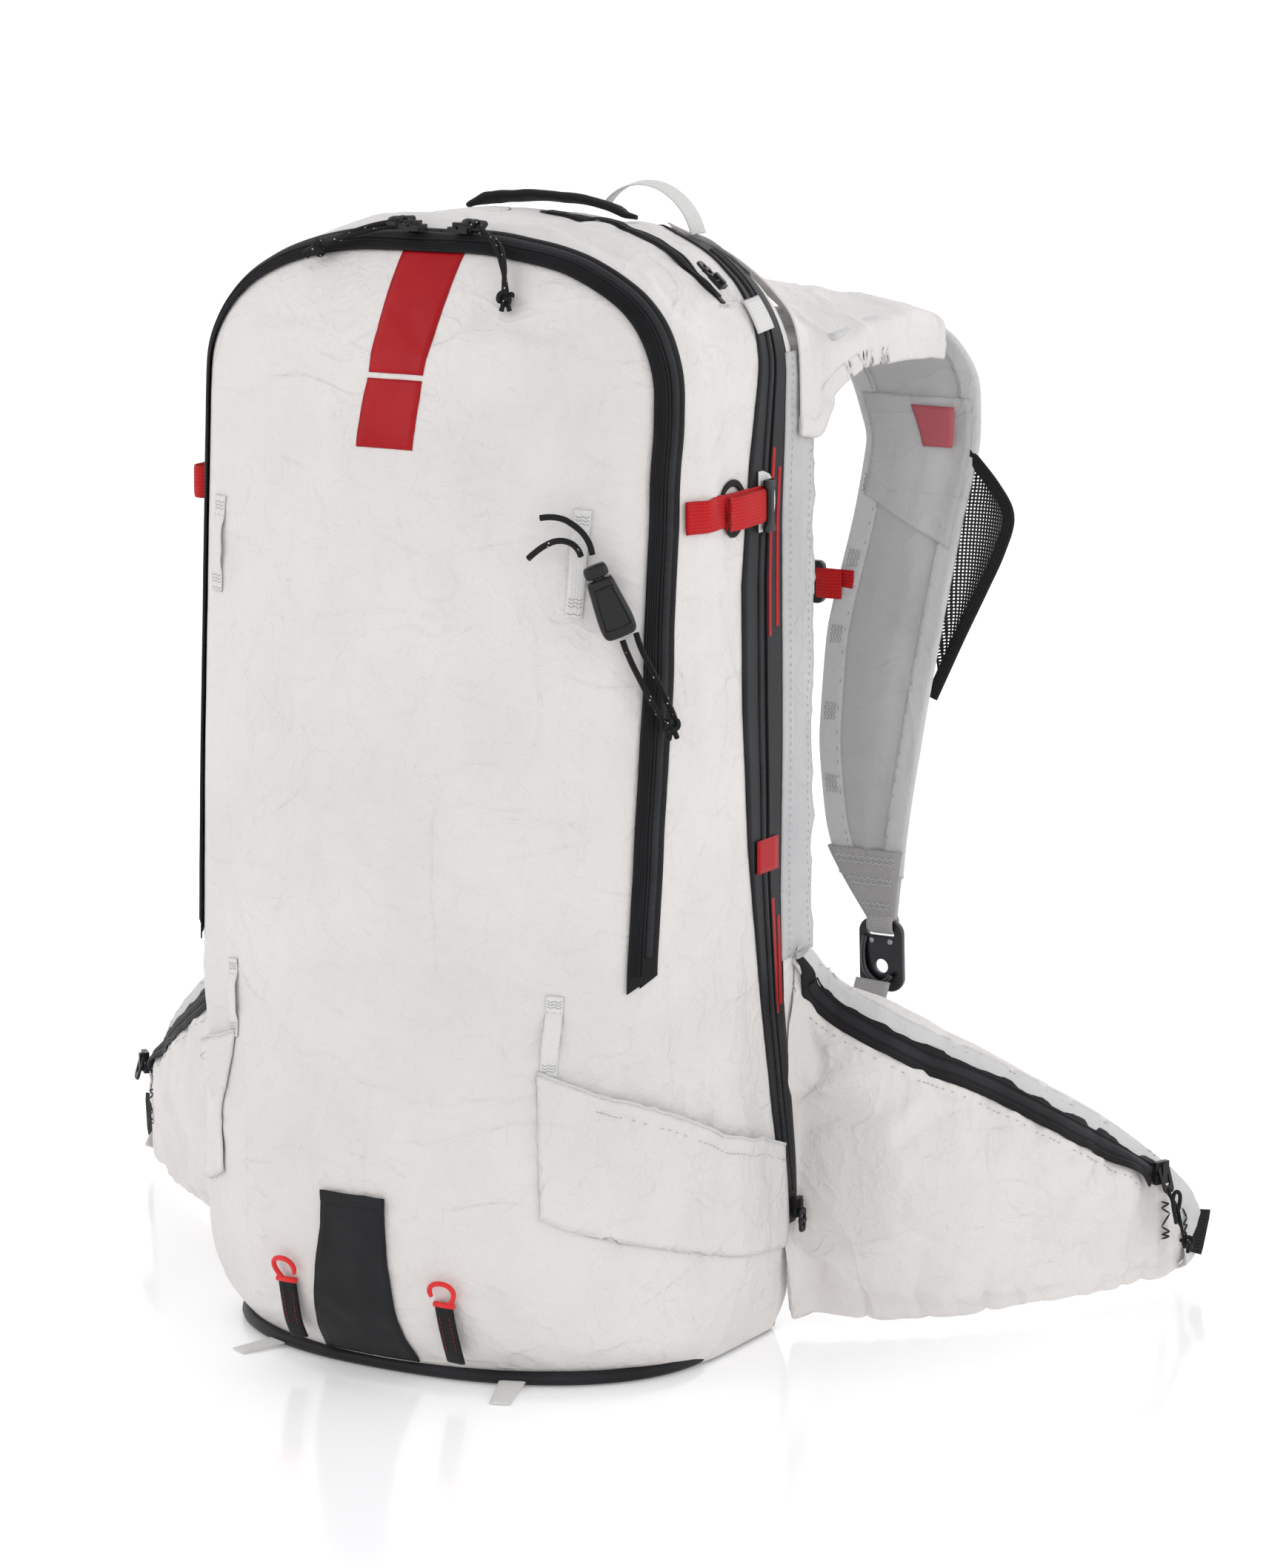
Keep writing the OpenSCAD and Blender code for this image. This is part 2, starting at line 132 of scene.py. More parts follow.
def finish_piece(obj, material, body):
    obj.data.materials.clear()
    obj.data.materials.append(material)
    if body:
        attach(obj, body)
    return obj


def add_mesh(name, verts, faces, uvs=None, smooth=True):
    """uvs holds one (u, v) in metres for each vertex, or for each corner of each face."""
    mesh = bpy.data.meshes.new(name)
    mesh.from_pydata([tuple(v) for v in verts], [], [tuple(f) for f in faces])
    if uvs is not None:
        layer = mesh.uv_layers.new(name="UVMap")
        loops = np.zeros(len(mesh.loops), int)
        mesh.loops.foreach_get("vertex_index", loops)
        flat = arr(uvs)[loops] if len(uvs) == len(verts) else arr(uvs)
        layer.data.foreach_set("uv", flat.astype(np.float32).ravel())
    mesh.polygons.foreach_set("use_smooth", [smooth] * len(mesh.polygons))
    mesh.update()
    obj = bpy.data.objects.new(name, mesh)
    bpy.context.scene.collection.objects.link(obj)
    return obj


def grid_faces(rows, cols, closed=False):
    last = cols if closed else cols - 1
    return [(r * cols + c, r * cols + (c + 1) % cols, (r + 1) * cols + (c + 1) % cols, (r + 1) * cols + c)
            for r in range(rows - 1) for c in range(last)]


def bake(obj):
    """Applies the object's modifiers to its mesh."""
    deps = bpy.context.evaluated_depsgraph_get()
    mesh = bpy.data.meshes.new_from_object(obj.evaluated_get(deps), preserve_all_data_layers=True, depsgraph=deps)
    obj.modifiers.clear()
    old = obj.data
    obj.data = mesh
    bpy.data.meshes.remove(old)
    return obj


def thicken(obj, thickness, offset=-1.0):
    m = obj.modifiers.new("thick", "SOLIDIFY")
    m.thickness = thickness
    m.offset = offset
    return bake(obj)


def join(name, objects):
    """One object made of several, all of them with the first one's materials list extended."""
    bm = bmesh.new()
    materials = []
    for o in objects:
        before = len(bm.faces)
        copy = o.data.copy()
        copy.transform(o.matrix_world)
        index = []
        for m in o.data.materials:
            if m not in materials:
                materials.append(m)
            index.append(materials.index(m))
        bm.from_mesh(copy)
        bm.faces.ensure_lookup_table()
        for f in bm.faces[before:]:
            f.material_index = index[f.material_index] if index else 0
        bpy.data.meshes.remove(copy)
    mesh = bpy.data.meshes.new(name)
    bm.to_mesh(mesh)
    bm.free()
    for m in materials:
        mesh.materials.append(m)
    obj = bpy.data.objects.new(name, mesh)
    bpy.context.scene.collection.objects.link(obj)
    for o in objects:
        bpy.data.objects.remove(o)
    return obj


def sweep_mesh(name, path, radius, sides=10, ends=True):
    """A round tube along a path; radius is one number or one for each point."""
    path = arr(path)
    t = tangents(path)
    r = np.full(len(path), radius) if np.isscalar(radius) else arr(radius)
    side = unit(np.cross(t[0], [0.31, 0.17, 0.93]))
    verts, uvs, run = [], [], 0.0
    for i in range(len(path)):
        side = unit(side - t[i] * np.dot(side, t[i]))
        up = np.cross(t[i], side)
        run += 0 if i == 0 else np.linalg.norm(path[i] - path[i - 1])
        for k in range(sides):
            a = 2 * math.pi * k / sides
            verts.append(path[i] + r[i] * (math.cos(a) * side + math.sin(a) * up))
            uvs.append((k / sides * 2 * math.pi * r[i], run))
    faces = grid_faces(len(path), sides, closed=True)
    if ends:
        faces.append(tuple(range(sides))[::-1])
        faces.append(tuple((len(path) - 1) * sides + k for k in range(sides)))
    return add_mesh(name, verts, faces, uvs)


def ribbon(name, path, normals, width, thick, lift=0.0, edge=0.25, crown=0.0, cuts=7, slant=0.0):
    """Flat webbing or tape along a path, lying against the side that the normals point away from.
    width may vary along the path. Its long edges are rounded."""
    path, normals = arr(path), arr(normals)
    t = tangents(path)
    w = np.full(len(path), width) if np.isscalar(width) else arr(width)
    across = np.cross(t, normals)
    across /= np.maximum(np.linalg.norm(across, axis=1, keepdims=True), 1e-12)
    up = np.cross(across, t)
    u = np.linspace(-1, 1, cuts)
    top = [(x, 1.0 - (1 if abs(x) > 0.98 else 0) * edge) for x in u]
    low = [(x, 0.0 + (1 if abs(x) > 0.98 else 0) * edge) for x in u[::-1]]
    ring = top + low
    verts, uvs, run = [], [], 0.0
    for i in range(len(path)):
        run += 0 if i == 0 else np.linalg.norm(path[i] - path[i - 1])
        for x, h in ring:
            arch = crown * (1 - x * x)
            cut = t[i] * slant * x if i in (0, len(path) - 1) else 0
            verts.append(path[i] + across[i] * x * w[i] / 2 + up[i] * (lift + h * thick + arch) + cut * (1 if i else -1))
            uvs.append((x * w[i] / 2, run))
    n = len(ring)
    faces = grid_faces(len(path), n, closed=True)
    faces.append(tuple(range(n))[::-1])
    faces.append(tuple((len(path) - 1) * n + k for k in range(n)))
    return add_mesh(name, verts, faces, uvs)


def stitch_row(path, normals, pitch=0.0028, run=0.0018, radius=0.00022, lift=0.0001, zigzag=0.0):
    """Vertices and faces of a row of short thread stitches along a path."""
    path, normals = arr(path), arr(normals)
    count = max(2, int(length_of(path) / pitch))
    both = resample(np.hstack([path, normals]), count + 1)
    verts, faces = [], []
    for i in range(count):
        a, n = both[i, :3], unit(both[i, 3:])
        d = unit(both[i + 1, :3] - a)
        s = np.cross(d, n)
        if zigzag:
            flip = 1 if i % 2 else -1
            p0, p1 = a - s * zigzag * flip, both[i + 1, :3] + s * zigzag * flip
        else:
            p0, p1 = a, a + d * run
        d = unit(p1 - p0)
        s = np.cross(d, n)
        base = len(verts)
        for q, f in ((p0, 0.35), (p0 + (p1 - p0) * 0.25, 1), (p0 + (p1 - p0) * 0.75, 1), (p1, 0.35)):
            for k in range(5):
                ang = 2 * math.pi * k / 5
                verts.append(q + n * (lift + radius * 0.4) + radius * f * (math.cos(ang) * s + math.sin(ang) * n))
        faces += [tuple(base + v for v in f) for f in grid_faces(4, 5, closed=True)]
        faces += [tuple(base + k for k in range(5))[::-1], tuple(base + 15 + k for k in range(5))]
    return verts, faces


def stitches(name, rows, material, slot, body, **how):
    verts, faces = [], []
    for path, normals in rows:
        v, f = stitch_row(path, normals, **how)
        faces += [tuple(len(verts) + k for k in face) for face in f]
        verts += v
    return finish_piece(add_mesh(name, verts, faces), material, body)


def rounded_box(name, low, high, bevel, segments=3):
    bm = bmesh.new()
    bmesh.ops.create_cube(bm, size=1.0)
    low, high = arr(low), arr(high)
    for v in bm.verts:
        v.co = Vector((low + high) / 2 + arr(v.co) * (high - low))
    bmesh.ops.bevel(bm, geom=list(bm.edges), offset=bevel, segments=segments, profile=0.6, affect="EDGES")
    mesh = bpy.data.meshes.new(name)
    bm.to_mesh(mesh)
    bm.free()
    mesh.polygons.foreach_set("use_smooth", [True] * len(mesh.polygons))
    obj = bpy.data.objects.new(name, mesh)
    bpy.context.scene.collection.objects.link(obj)
    return obj


def place(obj, matrix):
    obj.data.transform(matrix)
    obj.data.update()
    return obj


def basis(origin, x, z):
    """A frame at origin whose X is along x and whose Z is as near z as it can be."""
    x = unit(x)
    z = unit(arr(z) - x * np.dot(z, x))
    y = np.cross(z, x)
    m = Matrix.Identity(4)
    for k, v in enumerate((x, y, z, origin)):
        for r in range(3):
            m[r][k] = v[r]
    return m


# ---------------------------------------------------------------- camera, floor and lights

VIEW_AZ, VIEW_EL, VIEW_DIST = 30.0, 11.0, 2.8
VIEW_TARGET = Vector((0.0736, 0.0425, 0.283))


def make_camera():
    az, el = math.radians(VIEW_AZ), math.radians(VIEW_EL)
    away = Vector((math.sin(az) * math.cos(el), -math.cos(az) * math.cos(el), math.sin(el)))
    camera = bpy.data.objects.new("camera", bpy.data.cameras.new("camera"))
    bpy.context.scene.collection.objects.link(camera)
    camera.location = VIEW_TARGET + away * VIEW_DIST
    camera.rotation_euler = (-away).to_track_quat("-Z", "Y").to_euler()
    camera.data.sensor_width = 36.0
    camera.data.lens = 36.0 * 7560 / 2116
    camera.data.clip_start = 0.05
    bpy.context.scene.camera = camera


def area_light(name, place_at, aim, size, power, colour=(1, 1, 1)):
    light = bpy.data.lights.new(name, "AREA")
    light.shape = "RECTANGLE"
    light.size, light.size_y = size
    light.energy = power
    light.color = colour
    obj = bpy.data.objects.new(name, light)
    bpy.context.scene.collection.objects.link(obj)
    obj.location = place_at
    obj.rotation_euler = (Vector(aim) - Vector(place_at)).to_track_quat("-Z", "Y").to_euler()


def make_studio():
    world = bpy.data.worlds.new("studio")
    bpy.context.scene.world = world
    world.use_nodes = True
    tree = world.node_tree
    back = tree.nodes["Background"]
    back.inputs[1].default_value = 1.26
    split = tree.nodes.new("ShaderNodeSeparateXYZ")
    tree.links.new(tree.nodes.new("ShaderNodeTexCoord").outputs["Generated"], split.inputs[0])
    fade = tree.nodes.new("ShaderNodeValToRGB")
    fade.color_ramp.elements[0].position = 0.30
    fade.color_ramp.elements[0].color = (1, 1, 1, 1)
    fade.color_ramp.elements[1].position = 0.95
    fade.color_ramp.elements[1].color = (0.50, 0.51, 0.53, 1)
    tree.links.new(split.outputs[2], fade.inputs[0])
    tree.links.new(fade.outputs[0], back.inputs[0])
    bpy.context.scene.view_settings.view_transform = "Standard"
    area_light("key", (-1.6, -1.9, 1.9), (0, 0, 0.3), (1.2, 1.2), 9)
    area_light("side", (2.4, 0.3, 1.2), (0.1, 0, 0.3), (0.7, 1.6), 6)
    area_light("rear", (0.6, 2.2, 1.5), (0, 0.1, 0.3), (1.6, 1.2), 7)
    floor = add_mesh("floor", mm((-40000, -40000, 0), (40000, -40000, 0), (40000, 40000, 0), (-40000, 40000, 0)),
        [(0, 1, 2, 3)])
    white = plain_material("floor_white", (0.985, 0.985, 0.988), 0.14, specular=0.6)
    glow = white.node_tree.nodes["Principled BSDF"]
    glow.inputs["Emission Color"].default_value = (1, 1, 1, 1)
    glow.inputs["Emission Strength"].default_value = 0.17
    floor.data.materials.append(white)
    floor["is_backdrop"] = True


# ---------------------------------------------------------------- materials

def node_tree(name):
    m = bpy.data.materials.new(name)
    m.use_nodes = True
    tree = m.node_tree
    return m, tree, tree.nodes, tree.links, tree.nodes["Principled BSDF"]


def plain_material(name, colour, rough, metal=0.0, specular=0.5, coat=0.0):
    m, _, _, _, bsdf = node_tree(name)
    bsdf.inputs["Base Color"].default_value = (*colour, 1)
    bsdf.inputs["Roughness"].default_value = rough
    bsdf.inputs["Metallic"].default_value = metal
    bsdf.inputs["Specular IOR Level"].default_value = specular
    bsdf.inputs["Coat Weight"].default_value = coat
    return m


class Nodes:
    """Short calls for the node graphs that the materials below share."""

    def __init__(self, name):
        self.material, self.tree, self.nodes, self.links, self.bsdf = node_tree(name)

    def new(self, kind, **inputs):
        n = self.nodes.new(kind)
        for k, v in inputs.items():
            key = k.replace("_", " ")
            if hasattr(v, "is_output"):
                self.links.new(v, n.inputs[key])
            else:
                n.inputs[key].default_value = v
        return n

    def math(self, op, a, b=None):
        n = self.nodes.new("ShaderNodeMath")
        n.operation = op
        for i, v in enumerate((a, b)):
            if v is None:
                continue
            if hasattr(v, "is_output"):
                self.links.new(v, n.inputs[i])
            else:
                n.inputs[i].default_value = v
        return n.outputs[0]

    def coords(self, kind="Object"):
        return self.nodes.new("ShaderNodeTexCoord").outputs[kind]

    def stretch(self, vector, scale):
        n = self.nodes.new("ShaderNodeMapping")
        n.inputs["Scale"].default_value = scale
        self.links.new(vector, n.inputs["Vector"])
        return n.outputs[0]

    def noise(self, vector, scale, detail=3.0, rough=0.5, distortion=0.0):
        return self.new("ShaderNodeTexNoise", Vector=vector, Scale=scale, Detail=detail, Roughness=rough,
                        Distortion=distortion).outputs["Fac"]

    def crease(self, vector, scale, width):
        """Thin fold lines, 1 on the line: where a smooth noise passes its middle."""
        n = self.noise(vector, scale, 2.0, 0.5, 0.4)
        off = self.math("ABSOLUTE", self.math("SUBTRACT", n, 0.5))
        near = self.math("SUBTRACT", 1.0, self.math("DIVIDE", self.math("MINIMUM", off, width), width))
        return self.math("POWER", near, 1.6)

    def wave(self, vector, direction, scale, distortion=0.0):
        n = self.nodes.new("ShaderNodeTexWave")
        n.bands_direction = direction
        n.wave_profile = "SIN"
        self.links.new(vector, n.inputs["Vector"])
        n.inputs["Scale"].default_value = scale
        n.inputs["Distortion"].default_value = distortion
        return n.outputs["Fac"]

    def ramp(self, fac, low, high, a=0.0, b=1.0):
        n = self.nodes.new("ShaderNodeValToRGB")
        n.color_ramp.elements[0].position = a
        n.color_ramp.elements[1].position = b
        n.color_ramp.elements[0].color = (*low, 1)
        n.color_ramp.elements[1].color = (*high, 1)
        self.links.new(fac, n.inputs["Fac"])
        return n.outputs["Color"]

    def mix(self, fac, a, b):
        n = self.nodes.new("ShaderNodeMix")
        n.data_type = "RGBA"
        for socket, v in ((n.inputs[0], fac), (n.inputs[6], a), (n.inputs[7], b)):
            if hasattr(v, "is_output"):
                self.links.new(v, socket)
            else:
                socket.default_value = v if not isinstance(v, tuple) else (*v, 1)
        return n.outputs[2]

    def bump(self, *layers):
        """Each layer is (height, distance in metres, strength)."""
        normal = None
        for height, distance, strength in layers:
            n = self.new("ShaderNodeBump", Height=height, Distance=distance, Strength=strength)
            if normal:
                self.links.new(normal, n.inputs["Normal"])
            normal = n.outputs[0]
        self.links.new(normal, self.bsdf.inputs["Normal"])

    def set(self, **values):
        for k, v in values.items():
            socket = self.bsdf.inputs[k.replace("_", " ")]
            if hasattr(v, "is_output"):
                self.links.new(v, socket)
            else:
                socket.default_value = v if not isinstance(v, tuple) else (*v, 1)

    def output(self, shader):
        out = [n for n in self.nodes if n.type == "OUTPUT_MATERIAL"][0]
        self.links.new(shader, out.inputs["Surface"])


def laminate(name, tint, shade, rough=0.42, clear=0.0, through=0.25):
    """White laminated sail-like cloth: a fine weave, crisp creases with painted shade along them, mottling and light
    coming through.
    """
    g = Nodes(name)
    where = g.coords()
    uv = g.coords("UV")
    soft = g.noise(where, 9.0, 5.0, 0.6)
    streak = g.noise(g.stretch(uv, (900.0, 24.0, 1.0)), 1.0, 2.0)
    weave = g.math("MULTIPLY", g.wave(uv, "X", 320.0), g.wave(uv, "Y", 320.0))
    long = g.crease(g.stretch(where, (1.0, 1.0, 0.45)), 15.0, 0.045)
    slant = g.crease(g.stretch(where, (0.6, 0.8, 1.1)), 27.0, 0.05)
    tiny = g.crease(where, 70.0, 0.07)
    facets = g.noise(g.stretch(where, (1.0, 1.0, 0.6)), 34.0, 6.0, 0.62, 0.6)
    mottled = g.ramp(soft, shade, tint, 0.3, 0.62)
    # painted shade: the colour is pulled a little towards the shade tone along the crease lines
    crease_shaded = g.mix(g.math("MULTIPLY", g.math("MAXIMUM", long, slant), 0.025), mottled, shade)
    g.set(Base_Color=g.mix(g.math("MULTIPLY", streak, 0.10), crease_shaded, shade), Specular_IOR_Level=0.45,
        Sheen_Weight=0.06)
    g.set(Roughness=g.math("ADD", g.math("MULTIPLY", soft, 0.14), rough - 0.07))
    g.bump((long, 0.0010, 0.45), (slant, 0.0009, 0.45), (tiny, 0.0005, 0.4), (facets, 0.0046, 0.5),
        (weave, 0.00011, 0.5))
    back = g.new("ShaderNodeBsdfTranslucent", Color=(*tint, 1))
    blend = g.nodes.new("ShaderNodeMixShader")
    blend.inputs[0].default_value = through
    g.links.new(g.bsdf.outputs[0], blend.inputs[1])
    g.links.new(back.outputs[0], blend.inputs[2])
    if clear:
        see = g.new("ShaderNodeBsdfTransparent")
        more = g.nodes.new("ShaderNodeMixShader")
        more.inputs[0].default_value = clear
        g.links.new(blend.outputs[0], more.inputs[1])
        g.links.new(see.outputs[0], more.inputs[2])
        g.output(more.outputs[0])
    else:
        g.output(blend.outputs[0])
    return g.material


def coated(name, colour, rough=0.42, ribs=0.0, lifted=1.9):
    """Black coated cloth with a fine grain; ribs adds the coil teeth pressing through."""
    g = Nodes(name)
    where = g.coords()
    uv = g.coords("UV")
    grain = g.noise(where, 900.0, 2.0)
    dull = g.noise(where, 30.0, 4.0)
    weave = g.math("MULTIPLY", g.wave(uv, "X", 260.0), g.wave(uv, "Y", 260.0))
    lift = tuple(min(1.0, c * lifted + 0.003) for c in colour)
    g.set(Base_Color=g.ramp(dull, colour, lift, 0.35, 0.75), Specular_IOR_Level=0.16)
    g.set(Roughness=g.math("ADD", g.math("MULTIPLY", dull, 0.18), rough - 0.08))
    layers = [(grain, 0.0001, 0.3), (dull, 0.0012, 0.3), (weave, 0.00008, 0.4)]
    if ribs:
        teeth = g.wave(uv, "Y", ribs)
        layers.append((teeth, 0.0004, 0.7))
    g.bump(*layers)
    return g.material


def webbing(name, colour, dark, rib=300.0, rough=0.72):
    """Woven tape: a grid of yarn rows across and along it, with a fine fuzz."""
    g = Nodes(name)
    uv = g.coords("UV")
    rows = g.wave(uv, "Y", rib)
    cols = g.wave(uv, "X", rib * 0.75)
    cell = g.math("MULTIPLY", rows, cols)
    fuzz = g.noise(g.coords(), 1500.0, 2.0)
    wear = g.noise(g.coords(), 60.0, 3.0)
    base = g.ramp(cell, dark, colour, 0.05, 0.55)
    g.set(Base_Color=g.mix(g.math("MULTIPLY", wear, 0.22), base, dark), Roughness=rough, Sheen_Weight=0.04,
        Specular_IOR_Level=0.2)
    g.bump((cell, 0.00035, 0.75), (fuzz, 0.0001, 0.4))
    return g.material


def flecked_cord(name):
    """Black braided cord with pale reflective flecks."""
    g = Nodes(name)
    uv = g.coords("UV")
    where = g.coords()
    braid = g.math("MULTIPLY", g.wave(g.stretch(uv, (1.0, 0.8, 1.0)), "DIAGONAL", 420.0), 1.0)
    cells = g.nodes.new("ShaderNodeTexVoronoi")
    g.links.new(where, cells.inputs["Vector"])
    cells.inputs["Scale"].default_value = 330.0
    fleck = g.ramp(cells.outputs["Distance"], (1, 1, 1), (0, 0, 0), 0.1, 0.17)
    colour = g.mix(fleck, (0.007, 0.007, 0.008), (0.55, 0.55, 0.52))
    g.set(Base_Color=colour, Roughness=0.62, Specular_IOR_Level=0.25)
    g.bump((braid, 0.0004, 0.8))
    return g.material


def moulded(name, colour, rough=0.3):
    g = Nodes(name)
    where = g.coords()
    orange = g.noise(where, 1400.0, 2.0)
    smear = g.noise(where, 70.0, 4.0)
    g.set(Base_Color=g.ramp(smear, colour, tuple(c * 1.3 + 0.002 for c in colour), 0.3, 0.8))
    g.set(Roughness=g.math("ADD", g.math("MULTIPLY", smear, 0.2), rough - 0.08), Specular_IOR_Level=0.28)
    g.bump((orange, 0.00006, 0.3))
    return g.material


def brushed(name, colour, rough=0.3):
    g = Nodes(name)
    where = g.coords()
    hair = g.noise(g.stretch(where, (40.0, 40.0, 1800.0)), 1.0, 3.0)
    spots = g.noise(where, 90.0, 4.0)
    g.set(Base_Color=g.ramp(spots, tuple(c * 0.82 for c in colour), colour, 0.25, 0.7), Metallic=1.0)
    g.set(Roughness=g.math("ADD", g.math("MULTIPLY", hair, 0.22), rough - 0.1))
    g.bump((hair, 0.00006, 0.35))
    return g.material


def mesh_cloth(name, colour, holes):
    """Knitted mesh with real see-through holes between its yarns."""
    g = Nodes(name)
    uv = g.coords("UV")
    cell = g.nodes.new("ShaderNodeTexVoronoi")
    g.links.new(uv, cell.inputs["Vector"])
    cell.inputs["Scale"].default_value = holes
    cell.inputs["Randomness"].default_value = 0.0
    hole = g.ramp(cell.outputs["Distance"], (0, 0, 0), (1, 1, 1), 0.25, 0.31)
    g.set(Base_Color=colour, Roughness=0.75, Sheen_Weight=0.2)
    g.bump((cell.outputs["Distance"], 0.0004, 0.6))
    g.set(Alpha=g.new("ShaderNodeSeparateColor", Color=hole).outputs[0])
    return g.material


def foam_mesh(name, colour, dark):
    """Spacer mesh over foam on the wearer's side."""
    g = Nodes(name)
    uv = g.coords("UV")
    cell = g.nodes.new("ShaderNodeTexVoronoi")
    g.links.new(uv, cell.inputs["Vector"])
    cell.inputs["Scale"].default_value = 420.0
    cell.inputs["Randomness"].default_value = 0.15
    soft = g.noise(g.coords(), 18.0, 4.0)
    g.set(Base_Color=g.mix(g.math("MULTIPLY", soft, 0.35), g.ramp(cell.outputs["Distance"], dark, colour, 0.1,
        0.45), dark))
    g.set(Roughness=0.8, Sheen_Weight=0.3)
    g.bump((cell.outputs["Distance"], 0.0006, 0.6), (soft, 0.002, 0.3))
    return g.material


MAT = {}


def make_materials():
    MAT["shell"] = laminate("white_laminate", (0.815, 0.784, 0.762), (0.735, 0.708, 0.69), through=0.14)
    MAT["sheer"] = laminate("sheer_laminate", (0.57, 0.56, 0.56), (0.40, 0.395, 0.40), 0.36, 0.14, 0.34)
    MAT["tab"] = webbing("white_tape", (0.80, 0.785, 0.765), (0.66, 0.65, 0.635), 260.0)
    MAT["coated"] = coated("black_coated", (0.010, 0.010, 0.0115))
    MAT["axe"] = coated("charcoal_coated", (0.011, 0.0115, 0.0125), 0.55, lifted=1.5)
    MAT["zip"] = coated("zip_tape", (0.006, 0.006, 0.007), 0.46)
    MAT["coil"] = coated("zip_coil", (0.018, 0.018, 0.020), 0.5, ribs=330.0)
    MAT["slider"] = moulded("slider_black", (0.012, 0.012, 0.013), 0.34)
    MAT["plastic"] = moulded("acetal_black", (0.01, 0.01, 0.011), 0.28)
    MAT["red"] = webbing("red_webbing", (0.62, 0.012, 0.014), (0.40, 0.005, 0.007), 250.0)
    MAT["print"] = coated("red_print", (0.34, 0.006, 0.010), 0.4, lifted=1.18)
    MAT["blackweb"] = webbing("black_webbing", (0.02, 0.02, 0.021), (0.006, 0.006, 0.006), 250.0)
    MAT["greyweb"] = webbing("grey_webbing", (0.50, 0.485, 0.475), (0.36, 0.35, 0.345), 300.0)
    MAT["cord"] = flecked_cord("flecked_cord")
    MAT["thread"] = plain_material("white_thread", (0.62, 0.62, 0.62), 0.7)
    MAT["greythread"] = plain_material("grey_thread", (0.33, 0.33, 0.34), 0.7)
    MAT["blackthread"] = plain_material("black_thread", (0.01, 0.01, 0.01), 0.6)
    MAT["redpart"] = moulded("red_plastic", (0.62, 0.02, 0.02), 0.34)
    MAT["alloy"] = brushed("alloy", (0.72, 0.72, 0.74), 0.32)
    MAT["steel"] = brushed("steel", (0.55, 0.55, 0.56), 0.28)
    MAT["mesh"] = mesh_cloth("black_mesh", (0.010, 0.010, 0.011), 560.0)
    MAT["spacer"] = foam_mesh("spacer_mesh", (0.62, 0.63, 0.65), (0.34, 0.345, 0.36))
    MAT["airbag"] = webbing("airbag_cloth", (0.75, 0.17, 0.03), (0.5, 0.09, 0.015), 200.0)
    MAT["rubber"] = moulded("hose_rubber", (0.012, 0.012, 0.012), 0.55)
    MAT["sheetpart"] = moulded("frame_plastic", (0.12, 0.12, 0.125), 0.5)


make_camera()
make_materials()
make_studio()


# ---------------------------------------------------------------- cords, from the CAD routes

PULL_RIGHT = mm(
    (21, -30, 564), (25, -31, 563.6), (29, -33, 562.6), (33, -35, 561), (37, -37, 559),
    (40.5, -39.5, 556.5), (43.5, -42, 553.5), (46, -44.5, 550), (48, -46.5, 546),
    (49.5, -48.5, 542), (51, -50.5, 538), (52, -52, 534), (53, -53.5, 530))
PULL_LEFT = mm(
    (-21, -30, 564), (-25, -30.5, 564), (-29, -31.5, 563.4), (-33, -32.5, 562.6), (-37, -33.5, 561.6),
    (-41, -35, 560.4), (-45, -36.5, 559), (-49, -38, 557.4), (-53, -39.5, 555.6), (-57, -41, 553.6),
    (-61, -42, 551.6), (-65, -43, 549.6), (-68, -43.5, 548))
TAIL_UPPER = mm(
    (109, -67, 416), (108.5, -67.5, 419), (107.5, -68, 422), (106, -69, 425), (103.5, -70, 428),
    (100.5, -71.5, 430.5), (97, -72.5, 432.5), (93, -74, 433.5), (89, -75, 433.5), (85.5, -76, 433))
TAIL_LOWER = mm(
    (104, -69, 415), (103, -70, 418), (101, -71, 420.5), (98.5, -72.5, 422), (95.5, -74, 422.5),
    (92.5, -75.5, 422), (89.5, -77, 420.5), (86.5, -78, 418.5), (83.5, -79, 416), (81, -80, 413.5))
LEG_FRONT = mm(
    (121.4, -59.8, 374.6), (122.6, -59.3, 370.8), (124, -58.5, 367), (126, -57.5, 362), (128, -56, 357),
    (130, -54.5, 352), (132, -53, 347), (134, -51, 342), (136, -49, 337), (138, -47, 332))
LEG_BACK = mm(
    (126, -55, 378), (127.5, -54.5, 373), (129, -53, 368), (131, -51.5, 363), (133, -50, 358),
    (135, -48.5, 353), (136.5, -47, 348.5), (138, -45.5, 344), (139.5, -44, 339.5), (141.5, -43.5, 334))
PULL_WING = mm(
    (279, 229.5, 58), (280.6, 229.5, 55), (282, 230, 52), (283, 231, 49), (283.6, 232, 46),
    (284, 233, 43), (284.4, 234, 40), (284.8, 235.5, 37), (285.2, 237, 34), (285.6, 238.5, 31),
    (286, 240, 28), (286.4, 241.5, 25))
PULL_D = 0.0042
ELASTIC_D = 0.003


def strand_pair(name, path, diameter, turns, start=0.0):
    """Two strands of cord lying side by side along a path and twisting round it."""
    path = resample(path, 46)
    t = tangents(path)
    side = unit(np.cross(t[0], [0.2, 0.9, 0.1]))
    lines = ([], [])
    for i in range(len(path)):
        side = unit(side - t[i] * np.dot(side, t[i]))
        up = np.cross(t[i], side)
        a = start + 2 * math.pi * turns * i / (len(path) - 1)
        off = (math.cos(a) * side + math.sin(a) * up) * diameter * 0.27
        lines[0].append(path[i] + off)
        lines[1].append(path[i] - off)
    halves = [sweep_mesh(name + "_h%d" % k, line, diameter * 0.285, 10) for k, line in enumerate(lines)]
    return join(name, halves)


